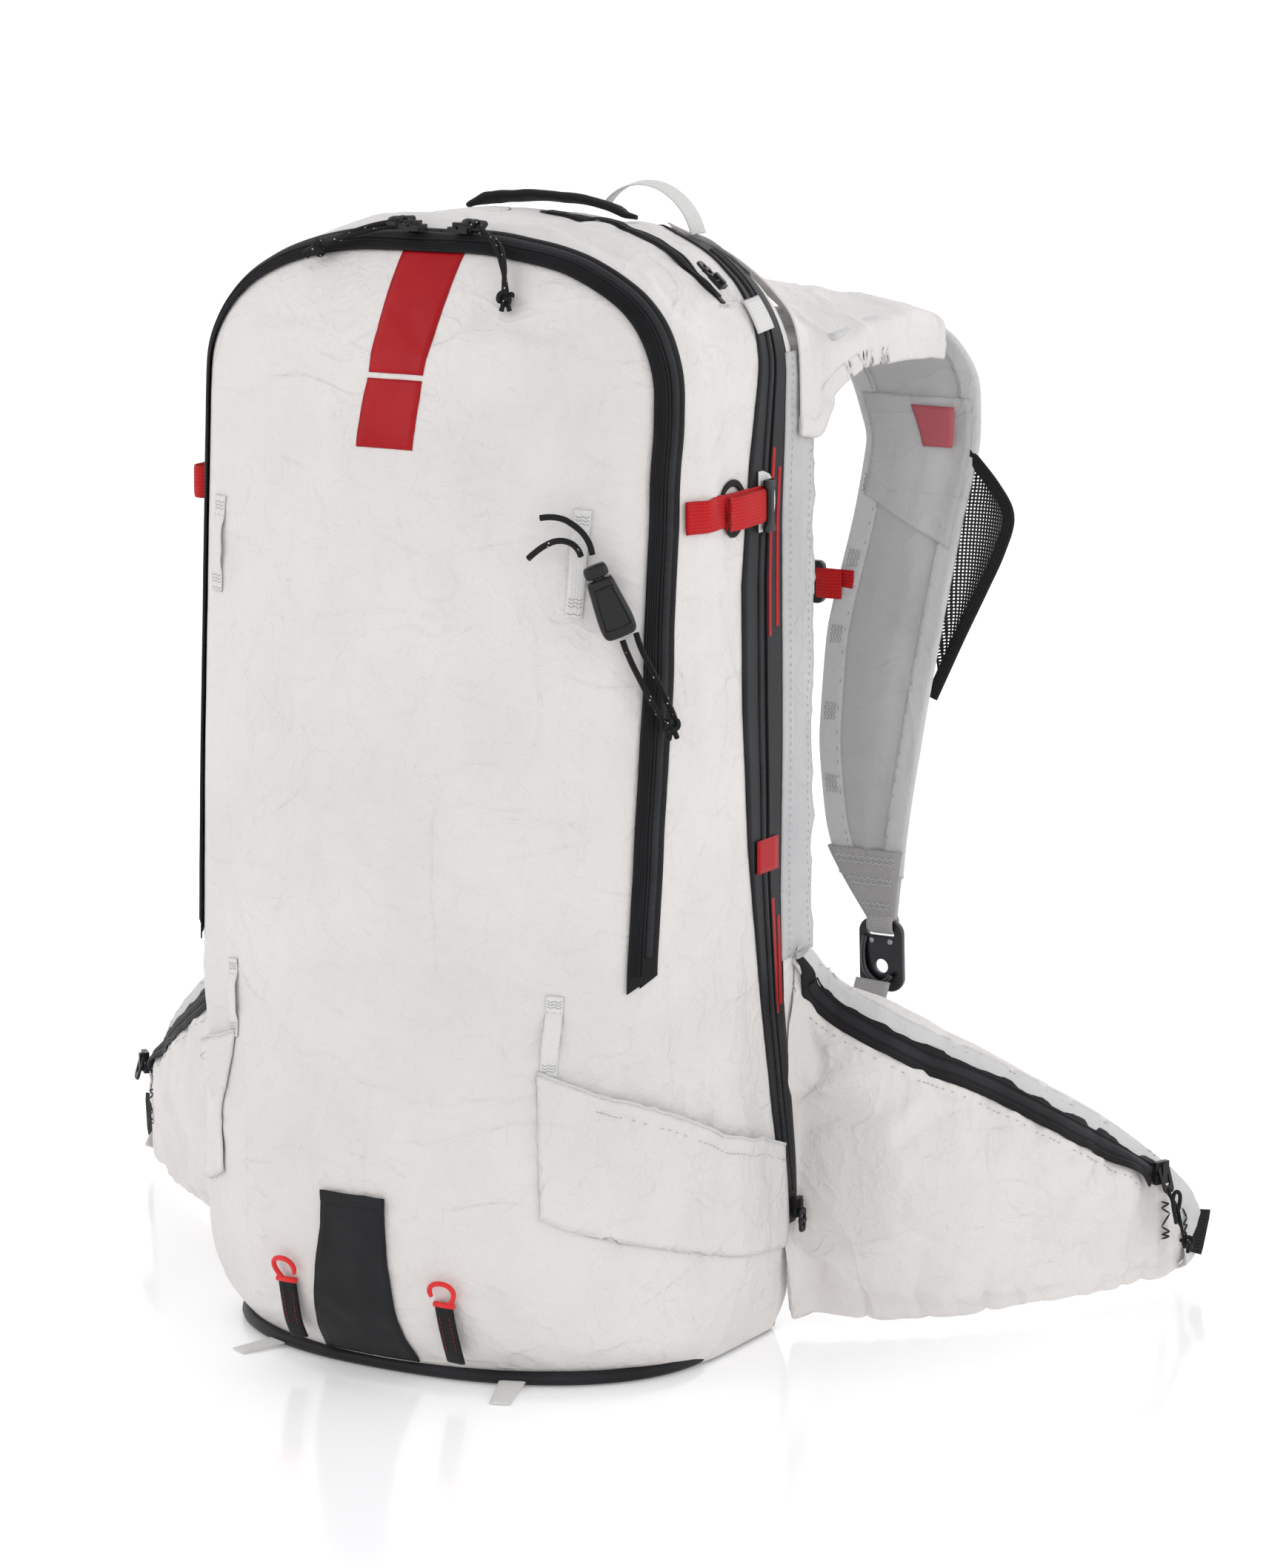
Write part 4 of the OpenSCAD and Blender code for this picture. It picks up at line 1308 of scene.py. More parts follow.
def make_compression():
    for side, word in ((1, "right"), (-1, "left")):
        ring = [(0.0155 + 0.0125 * math.cos(a), 0.430 + 0.0125 * math.sin(a)) for a in np.linspace(0, 2 * math.pi,
            49)]
        keeper = surface_ribbon("keeper_" + word, on_side_line(side, ring), 0.0034, 0.0009, 0.0004)
        finish_piece(keeper, MAT["blackweb"], "root")
        if side > 0:
            flat = [(y, 0.430) for y in np.linspace(-0.026, 0.052, 40)]
            strap = surface_ribbon("compression_web_" + word, on_side_line(side, flat), 0.0160, 0.0013, 0.0014,
                cuts=9)
        else:
            # this one is slack: it stands out from its front seam before it lies flat
            slack_line = curve_through(mm((-26.5, 0.6, 0), (-29.5, 4, 0), (-29.8, 8, 0), (-27, 10.8, 0),
                (-22, 11.2, 0),
                                          (-15, 9.2, 0), (-6, 5.4, 0), (4, 2.6, 0), (16, 2.0, 0), (52, 2.0, 0)), 80)
            path = arr([side_spot(side, y, 0.429)[0] + arr((side * off, 0, 0)) for y, off in slack_line[:, :2]])
            out = [unit(np.cross((0, 0, 1), t)) for t in tangents(path)]
            strap = ribbon("compression_web_" + word, path, out, 0.0160, 0.0013, cuts=9)
        finish_piece(strap, MAT["red"], "root")
        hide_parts("compression_straps")
        line, normals = snap(on_side_line(side, [(y, 0.4285) for y in np.linspace(0.004, 0.043, 26)]), BAG, 0.0, 5)
        slack = 0.0022 if side > 0 else 0.0052
        up = np.array([0.0032 + slack * math.sin(math.pi * (0.15 + 0.85 * t) ** 0.8) for t in np.linspace(0, 1,
            26)])[:, None]
        outer = line + normals * up
        turn = [outer[0] - unit(outer[1] - outer[0]) * 0.0011 * math.sin(a) - normals[0] * 0.0009 * (1 - math.cos(a))
                for a in np.linspace(math.pi, 0, 7)[:-1]]
        path = np.vstack([turn, outer])
        n = np.vstack([[unit(normals[0] * -math.cos(a) - unit(outer[1] - outer[0]) * math.sin(a))
                        for a in np.linspace(math.pi, 0, 7)[:-1]], normals])
        tail = ribbon("compression_fold_" + word, path[5:], n[5:], 0.0166, 0.0015, cuts=9)
        finish_piece(tail, MAT["red"], "root")
        rows = []
        for a in np.linspace(-1, 1, 15):
            reach = 0.012 * math.sqrt(max(0.0, 1 - a * a)) + 0.0004
            rows.append((0.0405, 0.430 + a * 0.0150, 0.0445 + reach, 0.430 + a * 0.0150))
        patch = side_sheet("hook_patch_" + word, side, rows, 0.0014, 0.0006, 8)
        finish_piece(patch, MAT["tab"], "root")
        body = "compression_hook_" + word
        spot = side_spot(side, 0.046, 0.428)[0]
        outline = []
        for z, w in ((-12.4, 3.4), (-12.9, 4.6), (-11.6, 5.2), (-9.6, 4.6), (-7.2, 2.9), (0, 2.5), (7.2, 2.9),
            (9.6, 4.6),
                     (11.6, 5.2), (12.9, 4.6), (12.4, 3.4)):
            outline.append((z, w))
        rows = []
        for z, w in curve_through([(z, w, 0) for z, w in outline], 46)[:, :2]:
            row = []
            for k in range(16):
                a = 2 * math.pi * k / 16
                px = math.copysign(abs(math.cos(a)) ** 0.6, math.cos(a)) * w
                py = math.copysign(abs(math.sin(a)) ** 0.6, math.sin(a)) * 1.7
                row.append(arr((spot[0] + side * (0.0048 + py * MM), 0.046 + px * MM, 0.428 + z * MM)))
            rows.append(row)
        hook = loft("hook_bar_" + word, rows, MAT["plastic"], body)
        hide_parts("compression_hook_" + word)


make_compression()


# ---------------------------------------------------------------- top: pocket zip, grab strip and haul loop

def top_line(points, count):
    """A path over the top, dropped onto the bag from above."""
    out = []
    for p in curve_through(points, count):
        hit, _, _, _ = BAG.ray_cast(Vector((p[0], p[1], 0.7)), Vector((0, 0, -1)))
        out.append(arr(hit) if hit else p)
    return arr(out)


def make_top():
    line = top_line(mm((16, 42, 569), (51, 42, 565), (76, 39, 556), (108, 34, 541), (123, 35, 528)), 90)
    spread = 0.0098 * np.minimum(1, 0.45 + np.minimum(np.arange(90), np.arange(90)[::-1]) / 22.0)
    band = surface_ribbon("pocket_zip_tape", line, spread, 0.0007, 0.0003, cuts=9)
    finish_piece(band, MAT["zip"], "root")
    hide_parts("pocket_zip")
    spots, normals = snap(line, BAG, 0, 7)
    for k, far in enumerate((-0.0026, 0.0026)):
        edge = surface_ribbon("pocket_edge%d" % k, sideways(spots, normals, far)[3:-3], 0.0012, 0.0005, 0.0009,
            crown=0.0003)
        finish_piece(edge, MAT["coated"], "root")
    middle = surface_ribbon("pocket_coil", spots[3:-3], 0.0030, 0.0005, 0.0008, crown=0.0005)
    finish_piece(middle, MAT["coil"], "root")
    end = line[-1]
    bar = snap([end + arr((0.0006, t, -0.0008)) for t in np.linspace(-0.0055, 0.0055, 12)], BAG, 0.0)
    stitches("pocket_bartack", [bar], MAT["thread"], "shell_fabric", "root", pitch=0.0009, zigzag=0.0010,
        lift=0.0006)
    cad_material("pocket_slider", MAT["slider"])
    pull_plate("pocket_pull", (0.1125, 0.037, 0.5425), (-0.72, 0, 0.62), (0.6, 0, 0.75), 0.0120, 0.0060,
        "pocket_slider")

    grab = top_line(mm((-41, 66, 569), (-20, 65, 571), (10, 64, 571), (40, 64, 567), (56, 66, 562)), 50)
    spots, normals = snap(grab, BAG, 0, 9)
    t = np.linspace(0, 1, 50)
    spots = spots + normals * (0.0008 + 0.0042 * np.sin(np.pi * t)[:, None] ** 0.8)
    rows = []
    for i in range(50):
        d = tangents(spots)[i]
        side = unit(np.cross(d, normals[i]))
        up = np.cross(side, d)
        w = 0.0068 * min(1, 0.35 + 0.9 * min(t[i], 1 - t[i]) * 6)
        h = 0.0024 * min(1, 0.5 + 0.7 * min(t[i], 1 - t[i]) * 6)
        rows.append([spots[i] + side * w * math.copysign(abs(math.cos(a)) ** 0.7, math.cos(a))
                     + up * (h + h * math.copysign(abs(math.sin(a)) ** 0.8, math.sin(a)))
                     for a in np.linspace(0, 2 * math.pi, 21)[:-1]])
    strip = loft("grab_strip", rows, MAT["blackweb"], "root")
    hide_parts("grab_handle")

    tape = top_line(mm((20, 80, 568), (45, 80, 563), (72, 81, 554), (96, 82, 543), (112, 82, 530)), 50)
    tape = surface_ribbon("top_edge_tape", tape, 0.0105, 0.0010, 0.0004, cuts=7)
    finish_piece(tape, MAT["greyweb"], "root")
    mirrored = top_line(mm((-20, 80, 568), (-45, 80, 563), (-72, 81, 554), (-96, 82, 543), (-112, 82, 530)), 50)
    tape = surface_ribbon("top_edge_tape_left", mirrored, 0.0105, 0.0010, 0.0004, cuts=7)
    finish_piece(tape, MAT["greyweb"], "root")

    tilt = math.radians(14)
    points, normals = [], []
    for a in np.linspace(math.radians(22), math.radians(158), 60):
        x, z = 0.0274 * math.cos(a), -0.012 + 0.0274 * math.sin(a)
        x *= 1.0 + 0.12 * max(0.0, math.cos(a))
        points.append((0.056 + x * math.cos(tilt) + z * math.sin(tilt), 0.081,
            0.5635 - x * math.sin(tilt) + z * math.cos(tilt)))
        out = arr((math.cos(a) * math.cos(tilt) + math.sin(a) * math.sin(tilt), 0,
                   -math.cos(a) * math.sin(tilt) + math.sin(a) * math.cos(tilt)))
        twist = math.radians(-28 + 30 * (a - 0.4) / 2.4)
        normals.append(out * math.cos(twist) + arr((0, 1, 0)) * math.sin(twist))
    loop = ribbon("haul_web", points, normals, 0.0090, 0.0011, lift=-0.0005, cuts=9)
    finish_piece(loop, MAT["tab"], "haul_loop")
    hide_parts("haul_loop")


make_top()


# ---------------------------------------------------------------- front: graphics, loops, sleeve and lock

def front_spot(x, z, tree=None):
    hit, normal, _, _ = (tree or BAG).ray_cast(Vector((x, -0.3, z)), Vector((0, 1, 0)))
    if hit is None:
        hit, normal, _, _ = BAG.find_nearest(Vector((x, -0.03, z)))
    return arr(hit), arr(normal)


def front_sheet(name, left, right, lift, thick, rows=30, cols=12, bulge=0.0):
    """A sheet on the front between two edges, each a list of (x, z) in millimetres from its top down."""
    a = curve_through([(x, 0, z) for x, z in left], rows) * MM
    b = curve_through([(x, 0, z) for x, z in right], rows) * MM
    verts, normals, uvs = [], [], []
    for r in range(rows):
        for c in range(cols):
            t = c / (cols - 1)
            q = a[r] * (1 - t) + b[r] * t
            spot, n = front_spot(q[0], q[2])
            verts.append(spot)
            normals.append(n)
            uvs.append((q[0], q[2]))
    verts, normals = arr(verts), arr(normals)
    for k in range(3):
        g = normals[:, k].reshape(rows, cols)
        normals[:, k] = ((g + np.roll(g, 1, 0) + np.roll(g, -1, 0)) / 3).ravel() if rows > 6 else g.ravel()
    edge = np.array([[math.sin(math.pi * r / (rows - 1)) * math.sin(math.pi * c / (cols - 1)) for c in range(cols)]
                     for r in range(rows)]).reshape(-1, 1)
    n = len(verts)
    faces = grid_faces(rows, cols)
    top = verts + normals * (lift + thick + bulge * edge)
    low = verts + normals * lift
    seen = {}
    for f in faces:
        for p, q in zip(f, f[1:] + f[:1]):
            seen[(p, q)] = 1
    rim = [(q, p, p + n, q + n) for p, q in seen if (q, p) not in seen]
    return outward(add_mesh(name, np.vstack([top, low]),
        faces + [tuple(v + n for v in f[::-1]) for f in faces] + rim,
                            np.vstack([uvs, uvs])))


def tape_loop(name, top, bottom, width, body):
    """A flat tape sewn down at both ends and standing a little off the cloth between them."""
    line = arr([front_spot(*(top * (1 - t) + bottom * t))[0] for t in np.linspace(0, 1, 30)])
    spots, normals = snap(line, BAG, 0, 7)
    t = np.linspace(0, 1, 30)
    rise = 0.0015 * soft_step(t, 0.18, 0.35) * (1 - soft_step(t, 0.65, 0.82))
    tape = ribbon(name, spots + normals * rise[:, None], normals, width, 0.0007, lift=0.0003)
    finish_piece(tape, MAT["tab"], body)
    rows = []
    for lo, hi in ((2, 6), (24, 28)):
        for k in np.linspace(lo, hi, 4):
            i = int(k)
            across = unit(np.cross(tangents(spots)[i], normals[i]))
            rows.append((arr([spots[i] + across * w for w in np.linspace(-width * 0.42, width * 0.42, 6)]),
                [normals[i]] * 6))
    stitches(name + "_tacks", rows, MAT["greythread"], "shell_fabric", body, pitch=0.0016, zigzag=0.0005,
        lift=0.0009)
    return tape


def make_front():
    stripe = front_sheet("red_stripe", [(-16.7, 552.5), (-16.4, 522), (-15.3, 496)],
        [(18.2, 553), (16.8, 522), (15.6, 496)],
                         0.0001, 0.00035, 30, 10)
    finish_piece(stripe, MAT["print"], "flap")
    square = front_sheet("red_block", [(-15.4, 493.4), (-15.8, 477), (-16.2, 461)],
        [(15.6, 493.4), (15.8, 477), (16.2, 461)],
                         0.0001, 0.00035, 18, 10)
    finish_piece(square, MAT["print"], "flap")
    for name, body, x0, x1, z0, z1 in (
            ("shaft_tape_right", "flap", 99.5, 97, 436, 384), ("shaft_tape_left", "flap", -110, -112, 428, 380),
            ("tool_tape_right", "root", 94, 92, 201, 160), ("tool_tape_left", "root", -92, -89, 199, 160)):
        tape = tape_loop(name, mm((x0, z0))[0], mm((x1, z1))[0], 0.0085, body)
        if name.endswith("right"):
            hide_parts("shaft_loops" if body == "flap" else "tool_loops")

    sleeve = front_sheet("axe_panel", [(-20, 97), (-24, 70), (-32, 36), (-36, 9)],
        [(16, 97), (15.5, 70), (16.5, 36), (20, 9)],
                         0.0008, 0.0011, 40, 14, 0.0012)
    finish_piece(sleeve, MAT["axe"], "root")
    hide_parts("axe_sleeve")
    hem = arr([front_spot(x * MM, 0.0945)[0] for x in np.linspace(-20.2, 15.8, 20)])
    hem = surface_ribbon("axe_panel_hem", hem, 0.0060, 0.0008, 0.0021)
    finish_piece(hem, MAT["axe"], "root")
    for side, word in ((-1, "left"), (1, "right")):
        body = "axe_loop_" + word
        lean = math.radians(19)
        foot = arr((side * 0.046, -0.093, 0.014))
        up, out = arr((0, -math.sin(lean), math.cos(lean))), arr((0, -math.cos(lean), -math.sin(lean)))
        line = curve_through([foot + up * h + out * b + arr((side * s, 0, 0)) for h, b, s in
                              ((0.0, 0.0, 0.0), (0.010, 0.0012, 0.0004), (0.022, 0.0010, 0.0),
                                  (0.034, 0.0, -0.0003))], 24)
        tongue = ribbon("axe_tongue_" + word, line, [out] * 24, 0.0100, 0.0019, lift=-0.0009, cuts=7)
        finish_piece(tongue, MAT["blackweb"], body)
        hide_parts(body)
        rows = [(line[6:20] + arr((s * 0.0028, 0, 0)), [out] * 14) for s in (-1, 1)]
        stitches("axe_tongue_stitches_" + word, rows, MAT["print"], "red_webbing", body, pitch=0.0022, run=0.0014,
            lift=0.0010)
        c = foot + up * 0.0395
        hook_line = [c + arr((math.sin(a) * 0.0062 * (1 + 0.25 * math.cos(a)), 0, 0)) + up * math.cos(a) * 0.0066
                     + out * 0.0008 * math.sin(a) for a in np.linspace(math.radians(-160), math.radians(100), 40)]
        if side > 0:
            hook_line = [arr((2 * c[0] - p[0], p[1], p[2])) for p in hook_line]
        r = [0.0013 * min(1, 0.75 + 3 * min(k, 39 - k) / 39) for k in range(40)]
        hook = sweep_mesh("axe_hook_" + word, hook_line, r, 12)
        bar = sweep_mesh("axe_bar_" + word, [c - up * 0.0058 - arr((0.0056, 0, 0)), c - up * 0.0060,
                                             c - up * 0.0058 + arr((0.0056, 0, 0))], 0.0015, 12)
        finish_piece(join("axe_fitting_" + word, [hook, bar]), MAT["redpart"], body)


def make_lock():
    turn = Matrix.Translation((0.116, -0.066, 0.396)) @ Matrix.Rotation(math.radians(34), 4, "Z") \
        @ Matrix.Rotation(math.radians(-22), 4, "Y")
    profile = ((-20.4, 5.2, 2.6), (-19.8, 7.0, 3.8), (-17.6, 8.3, 4.5), (-12, 8.6, 4.7), (-4, 7.9, 4.7),
        (3, 7.1, 4.6),
               (7.6, 6.6, 4.4), (9.2, 6.0, 3.7))
    rows = []
    for z, w, d in curve_through(profile, 40):
        rows.append([arr(turn @ (Vector((math.copysign(abs(math.cos(a)) ** 0.5, math.cos(a)) * w,
                                         math.copysign(abs(math.sin(a)) ** 0.55, math.sin(a)) * d, z)) * MM))
                     for a in np.linspace(0, 2 * math.pi, 33)[:-1]])
    body = loft("lock_body", rows, MAT["gloss"], "flap")
    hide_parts("cord_lock")
    frame_line = curve_through([(-4.6, -5.2, 4.6), (4.6, -5.2, 4.6), (5.0, -5.0, 3.0), (6.7, -4.9, -12.5),
        (5.6, -4.7, -15.6),
                                (-5.6, -4.7, -15.6), (-6.7, -4.9, -12.5), (-5.0, -5.0, 3.0)], 72, closed=True)
    rim = sweep_mesh("lock_rim", [arr(turn @ (Vector(p) * MM)) for p in frame_line], 0.00055, 8, ends=False)
    finish_piece(rim, MAT["gloss"], "flap")
    rows = []
    for z, w, d in curve_through(((0, 3.0, 3.0), (9.6, 3.0, 3.0), (10.4, 5.0, 3.4), (11.6, 5.9, 4.0),
        (14.6, 5.8, 3.9),
                                  (16.2, 5.0, 3.1), (16.6, 3.0, 1.6)), 34):
        rows.append([arr(turn @ (Vector((math.copysign(abs(math.cos(a)) ** 0.6, math.cos(a)) * w,
                                         math.copysign(abs(math.sin(a)) ** 0.6, math.sin(a)) * d, z)) * MM))
                     for a in np.linspace(0, 2 * math.pi, 25)[:-1]])
    button = loft("lock_button_head", rows, MAT["plastic"], "lock_button")
    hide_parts("cord_lock_button")


MAT["gloss"] = moulded("gloss_black", (0.008, 0.008, 0.009), 0.14)
make_front()
make_lock()


# ---------------------------------------------------------------- hip wings

WING_OUT = mm((141.0, 66, 0), (144, 76, 0), (150, 81.5, 0), (160, 84.5, 0), (187, 94, 0), (216, 120, 0),
    (242, 158, 0),
              (262, 203, 0), (276, 246, 0), (281.5, 266, 0))
WING_IN = mm((141.5, 92, 0), (146, 101, 0), (154, 109, 0), (168, 119, 0), (190, 138, 0), (215, 168, 0),
    (238, 208, 0),
             (256, 246, 0), (268, 264, 0), (277, 270, 0))
WING_TOP = mm((66, 206), (84, 201), (93, 181), (120, 157), (157, 131), (201, 102), (234, 77), (250, 64), (262, 52),
    (270, 38))
WING_LOW = mm((66, 3), (120, 3), (200, 3.2), (236, 4), (252, 6), (262, 11), (270, 20))
WING_PIVOT = (0.143, 0.094)
SPLAY = math.radians(24)
WING_START, WING_END = arr((0.1415, 0.069, 0)), arr((0.153, 0.086, 0))


def left_place(p):
    """Takes points of the right wing to the left one: mirrored, and swung outwards beyond its root."""
    p = arr(p)
    d = WING_END - WING_START
    t = np.clip(((p - WING_START) @ d) / (d @ d), 0, 1)
    w = (t * t * (3 - 2 * t)) * SPLAY
    x, y = -p[:, 0] + WING_PIVOT[0], p[:, 1] - WING_PIVOT[1]
    return np.stack([x * np.cos(w) - y * np.sin(w) - WING_PIVOT[0], x * np.sin(w) + y * np.cos(w) + WING_PIVOT[1],
        p[:, 2]],
                    axis=1)


def both_wings(obj, material, nodes=(), blend_it=True, right_body="wing_right", left_body="wing_left"):
    """Keeps a piece for the right wing and makes the left wing's from it."""
    base = obj.name
    mesh = obj.data.copy()
    other = bpy.data.objects.new(base + "_left", mesh)
    bpy.context.scene.collection.objects.link(other)
    bm = bmesh.new()
    bm.from_mesh(mesh)
    spots = left_place([v.co for v in bm.verts])
    for v, q in zip(bm.verts, spots):
        v.co = Vector(q)
    bmesh.ops.reverse_faces(bm, faces=bm.faces[:])
    bm.to_mesh(mesh)
    bm.free()
    obj.name = base + "_right"
    for o, side, body in ((obj, "right", right_body), (other, "left", left_body)):
        finish_piece(o, material, None if blend_it else body)
        if blend_it:
            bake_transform(o)
        for n in nodes:
            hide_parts(n + "_" + side)
    return obj, other


def wing_form():
    """The wing's padded body: an outer face with its pocket, an inner face, and a thin edge all round."""
    ns, nt = 64, 27
    out, inn = curve_through(WING_OUT, ns), curve_through(WING_IN, ns)
    rows = []
    for i in range(ns):
        s = i / (ns - 1)
        mid = out[i] * 0.45 + inn[i] * 0.55
        top = np.interp(mid[1] * 0.5 + out[i][1] * 0.5, WING_TOP[:, 0], WING_TOP[:, 1])
        low = np.interp(mid[1], WING_LOW[:, 0], WING_LOW[:, 1])
        shut = 1 - soft_step(s, 0.90, 1.0) * 0.9
        row = []
        for t in np.linspace(0, 1, nt):
            full = (math.sin(math.pi * (0.06 + 0.88 * t ** 0.85)) ** 0.42) * shut
            pocket = 1 - 0.38 * soft_step(t, 0.80, 0.93)
            p = mid + (out[i] - mid) * full * pocket
            row.append((p[0], p[1], low + (top - low) * t))
        for t in np.linspace(1, 0, nt)[1:-1]:
            full = (math.sin(math.pi * (0.05 + 0.9 * t)) ** 0.5) * shut * 0.8
            p = mid + (inn[i] - mid) * full
            row.append((p[0], p[1], low + (top - low) * t))
        rows.append(row)
    obj = loft("hip_wing_body", rows, MAT["shell"], None)
    co = coords_of(obj)
    n = len(rows[0])
    pins = np.zeros(len(co))
    grid = pins.reshape(ns, n)
    grid[:, [0, nt - 1, nt]] = 1.0
    grid[:, [1, nt - 2, n - 1]] = 0.6
    grid[:3, :] = 1.0
    grid[-3:, :] = 1.0
    zip_row = int(nt * 0.86)
    grid[:, zip_row - 1:zip_row + 2] = 0.85
    grid[:, nt + 2:n - 2] = np.maximum(grid[:, nt + 2:n - 2], 0.25)
    settle(obj, pins, 18, 1.6, 0.045, 0.007, bend=0.25)
    m = obj.modifiers.new("fine", "SUBSURF")
    m.levels = 2
    bake(obj)
    p = coords_of(obj)
    near_top = np.array([np.interp(q[1], WING_TOP[:, 0], WING_TOP[:, 1]) - q[2] for q in p])
    hold = (1 - soft_step(near_top, 0.004, 0.03)) * 0.7
    hold = np.maximum(hold, 1 - soft_step(p[:, 0], 0.142, 0.150))
    moved = crumple(p, normals_of(obj), hold, 1.25)
    bottom = 1 - soft_step(p[:, 2], 0.012, 0.05)
    pleat = np.array([ridges((q[0], q[1], q[2] * 0.2), 34.0, 9.2, 3.0) for q in p])
    moved = moved - normals_of(obj) * (pleat * bottom * 0.0022)[:, None]
    # the root tucks in behind the airbag strip, clear of its slider's travel
    tucked = (1 - soft_step(moved[:, 1], 0.082, 0.094)) * soft_step(moved[:, 2], 0.034,
        0.050) * (1 - soft_step(moved[:, 2], 0.116, 0.134))
    moved[:, 0] -= np.maximum(moved[:, 0] - 0.1408, 0) * tucked
    move_to(obj, moved)
    return obj


def wing_line(points, count, tree, lift=0.0, outwards=(0.85, -0.5, 0)):
    """A path on the wing's outer face, dropped onto it from outside."""
    spots, normals = [], []
    for p in curve_through(points, count):
        start = Vector(p) + Vector(outwards) * 0.06
        hit, normal, _, _ = tree.ray_cast(start, -Vector(outwards))
        if hit is None or (hit - Vector(p)).length > 0.03:
            hit, normal, _, _ = tree.find_nearest(Vector(p))
        spots.append(arr(hit))
        normals.append(arr(normal))
    wide = 7 if count > 40 else 3
    both = np.hstack([arr(spots), arr(normals)])
    both = np.stack([smooth_rows(both[:, k], wide) for k in range(6)], axis=1)
    both = resample(both, count)
    spots, normals = both[:, :3], both[:, 3:]
    normals /= np.maximum(np.linalg.norm(normals, axis=1, keepdims=True), 1e-9)
    return spots + normals * lift, normals


def make_wings():
    body = wing_form()
    tree = tree_for(body)
    right, left = both_wings(body, MAT["shell"], ("hip_wing",))
    zip_points = mm((143.5, 76, 197), (147.5, 80, 189), (153, 83, 178), (172, 90, 162), (201, 108, 143),
        (222, 131, 129),
                    (244, 163, 107), (260, 200, 84), (268, 222, 70), (272.5, 231, 63))
    line, normals = wing_line(zip_points, 150, tree)
    t = np.linspace(0, 1, 150)
    wave = np.array([swell(p, 34.0, 7.7) for p in line])
    wide = 0.0145 * np.minimum(1, 0.12 + t * 9) * (1 + 0.07 * wave)
    tape = ribbon("wing_zip_tape", line, normals, wide, 0.0010, lift=0.0004, cuts=11, crown=0.0005)
    both_wings(tape, MAT["zip"], ("wing_zip",))
    inner = slice(12, 147)
    coil = ribbon("wing_zip_coil", line[inner], normals[inner], 0.0052, 0.0007, lift=0.0014, cuts=9, crown=0.0009)
    both_wings(coil, MAT["coil"])
    across = np.cross(tangents(line), normals)
    across /= np.maximum(np.linalg.norm(across, axis=1, keepdims=True), 1e-9)
    across *= np.sign(across[:, 2:3] + 1e-6)
    for name, far in (("upper", 0.0041), ("lower", -0.0044)):
        edge = ribbon("wing_zip_lip_" + name, (line + across * far)[inner], normals[inner], 0.0013, 0.0006,
            lift=0.0012,
                      crown=0.0004)
        both_wings(edge, MAT["coated"])
    verts, faces = [], []
    for far in (0.0115, -0.0112):
        row, n = snap(line + across * far * np.minimum(1, 0.4 + t * 6)[:, None], tree, 0.0004)
        v, f = stitch_row(row[8:], n[8:], pitch=0.0034, run=0.0017, radius=0.00020)
        faces += [tuple(len(verts) + k for k in face) for face in f]
        verts += v
    both_wings(add_mesh("wing_zip_stitches", verts, faces), MAT["greythread"])
    edge = mm((143.5, 75, 209), (147, 79, 204), (158, 86, 188), (190, 100, 167), (222, 132, 144), (246, 166, 121),
        (263, 203, 97),
              (272, 232, 76), (278, 252, 58), (281, 262, 42), (280, 263, 28), (276, 256, 14))
    spots, n = wing_line(edge - arr((0, 0, 0.0085)), 170, tree)
    rim = ribbon("wing_binding", spots, n, 0.0135, 0.0008, lift=0.0005, cuts=9)
    both_wings(rim, MAT["binding"])
    verts, faces = [], []
    down = np.cross(tangents(spots), n)
    down *= np.sign(-(down[:, 2:3] + down[:, 1:2] * 0.7))
    row, rn = snap(spots + down * 0.0052, tree, 0.0011)
    v, f = stitch_row(row, rn, pitch=0.0036, run=0.0018, radius=0.0002)
    verts += v
    faces += f
    both_wings(add_mesh("wing_binding_stitches", verts, faces), MAT["greythread"])
    tacks_v, tacks_f = [], []
    for x, y, z in mm((274, 240, 38), (279, 255, 31)):
        row, rn = wing_line([(x, y, z + 0.010), (x, y, z), (x, y, z - 0.010)], 20, tree, 0.0008)
        v, f = stitch_row(row, rn, pitch=0.0022, radius=0.00055, zigzag=0.0023, lift=0.0010)
        tacks_f += [tuple(len(tacks_v) + k for k in face) for face in f]
        tacks_v += v
    both_wings(add_mesh("wing_bartacks", tacks_v, tacks_f), MAT["blackthread"])
    web = [arr((0.2735 + 0.0011 * k, 0.2590 + 0.0016 * k, 0.0290 - 0.0005 * k)) for k in range(9)]
    tab = ribbon("hip_web_end", web, [(0.9, -0.35, 0)] * 9, [0.021 + 0.0004 * k for k in range(9)], 0.0020,
        lift=-0.001, cuts=7)
    both_wings(tab, MAT["blackweb"], ("hip_buckle",), blend_it=False)
    for side in ("right", "left"):
        cad_material("wing_slider_" + side, MAT["slider"])
    puller = plate("wing_puller", slot_outline(0.0150, 0.0078, 0.0024, taper=0.8),
        slot_outline(0.0070, 0.0036, 0.0014, taper=0.8),
                   0.0014)
    place(puller, basis(mm((278.2, 230, 63))[0], (0.28, 0.02, -0.96), (0.88, -0.42, 0.1)))
    both_wings(puller, MAT["plastic"], blend_it=False, right_body="wing_slider_right",
        left_body="wing_slider_left")
    loop = []
    for a in np.linspace(0, 2 * math.pi, 46):
        loop.append(mm((283.2 + 0.8 * math.sin(2 * a), 232.5 + 3.4 * math.sin(a), 48 + 8.2 * math.cos(a)))[0])
    obj = sweep_mesh("wing_pull_loop", loop, 0.0011, 10, ends=False)
    finish_piece(obj, MAT["cord"], "wing_slider_right")


MAT["binding"] = laminate("binding_laminate", (0.78, 0.775, 0.77), (0.70, 0.695, 0.695), 0.5, 0.0, 0.25)
make_wings()


# ---------------------------------------------------------------- shoulder straps and the sheets that carry them

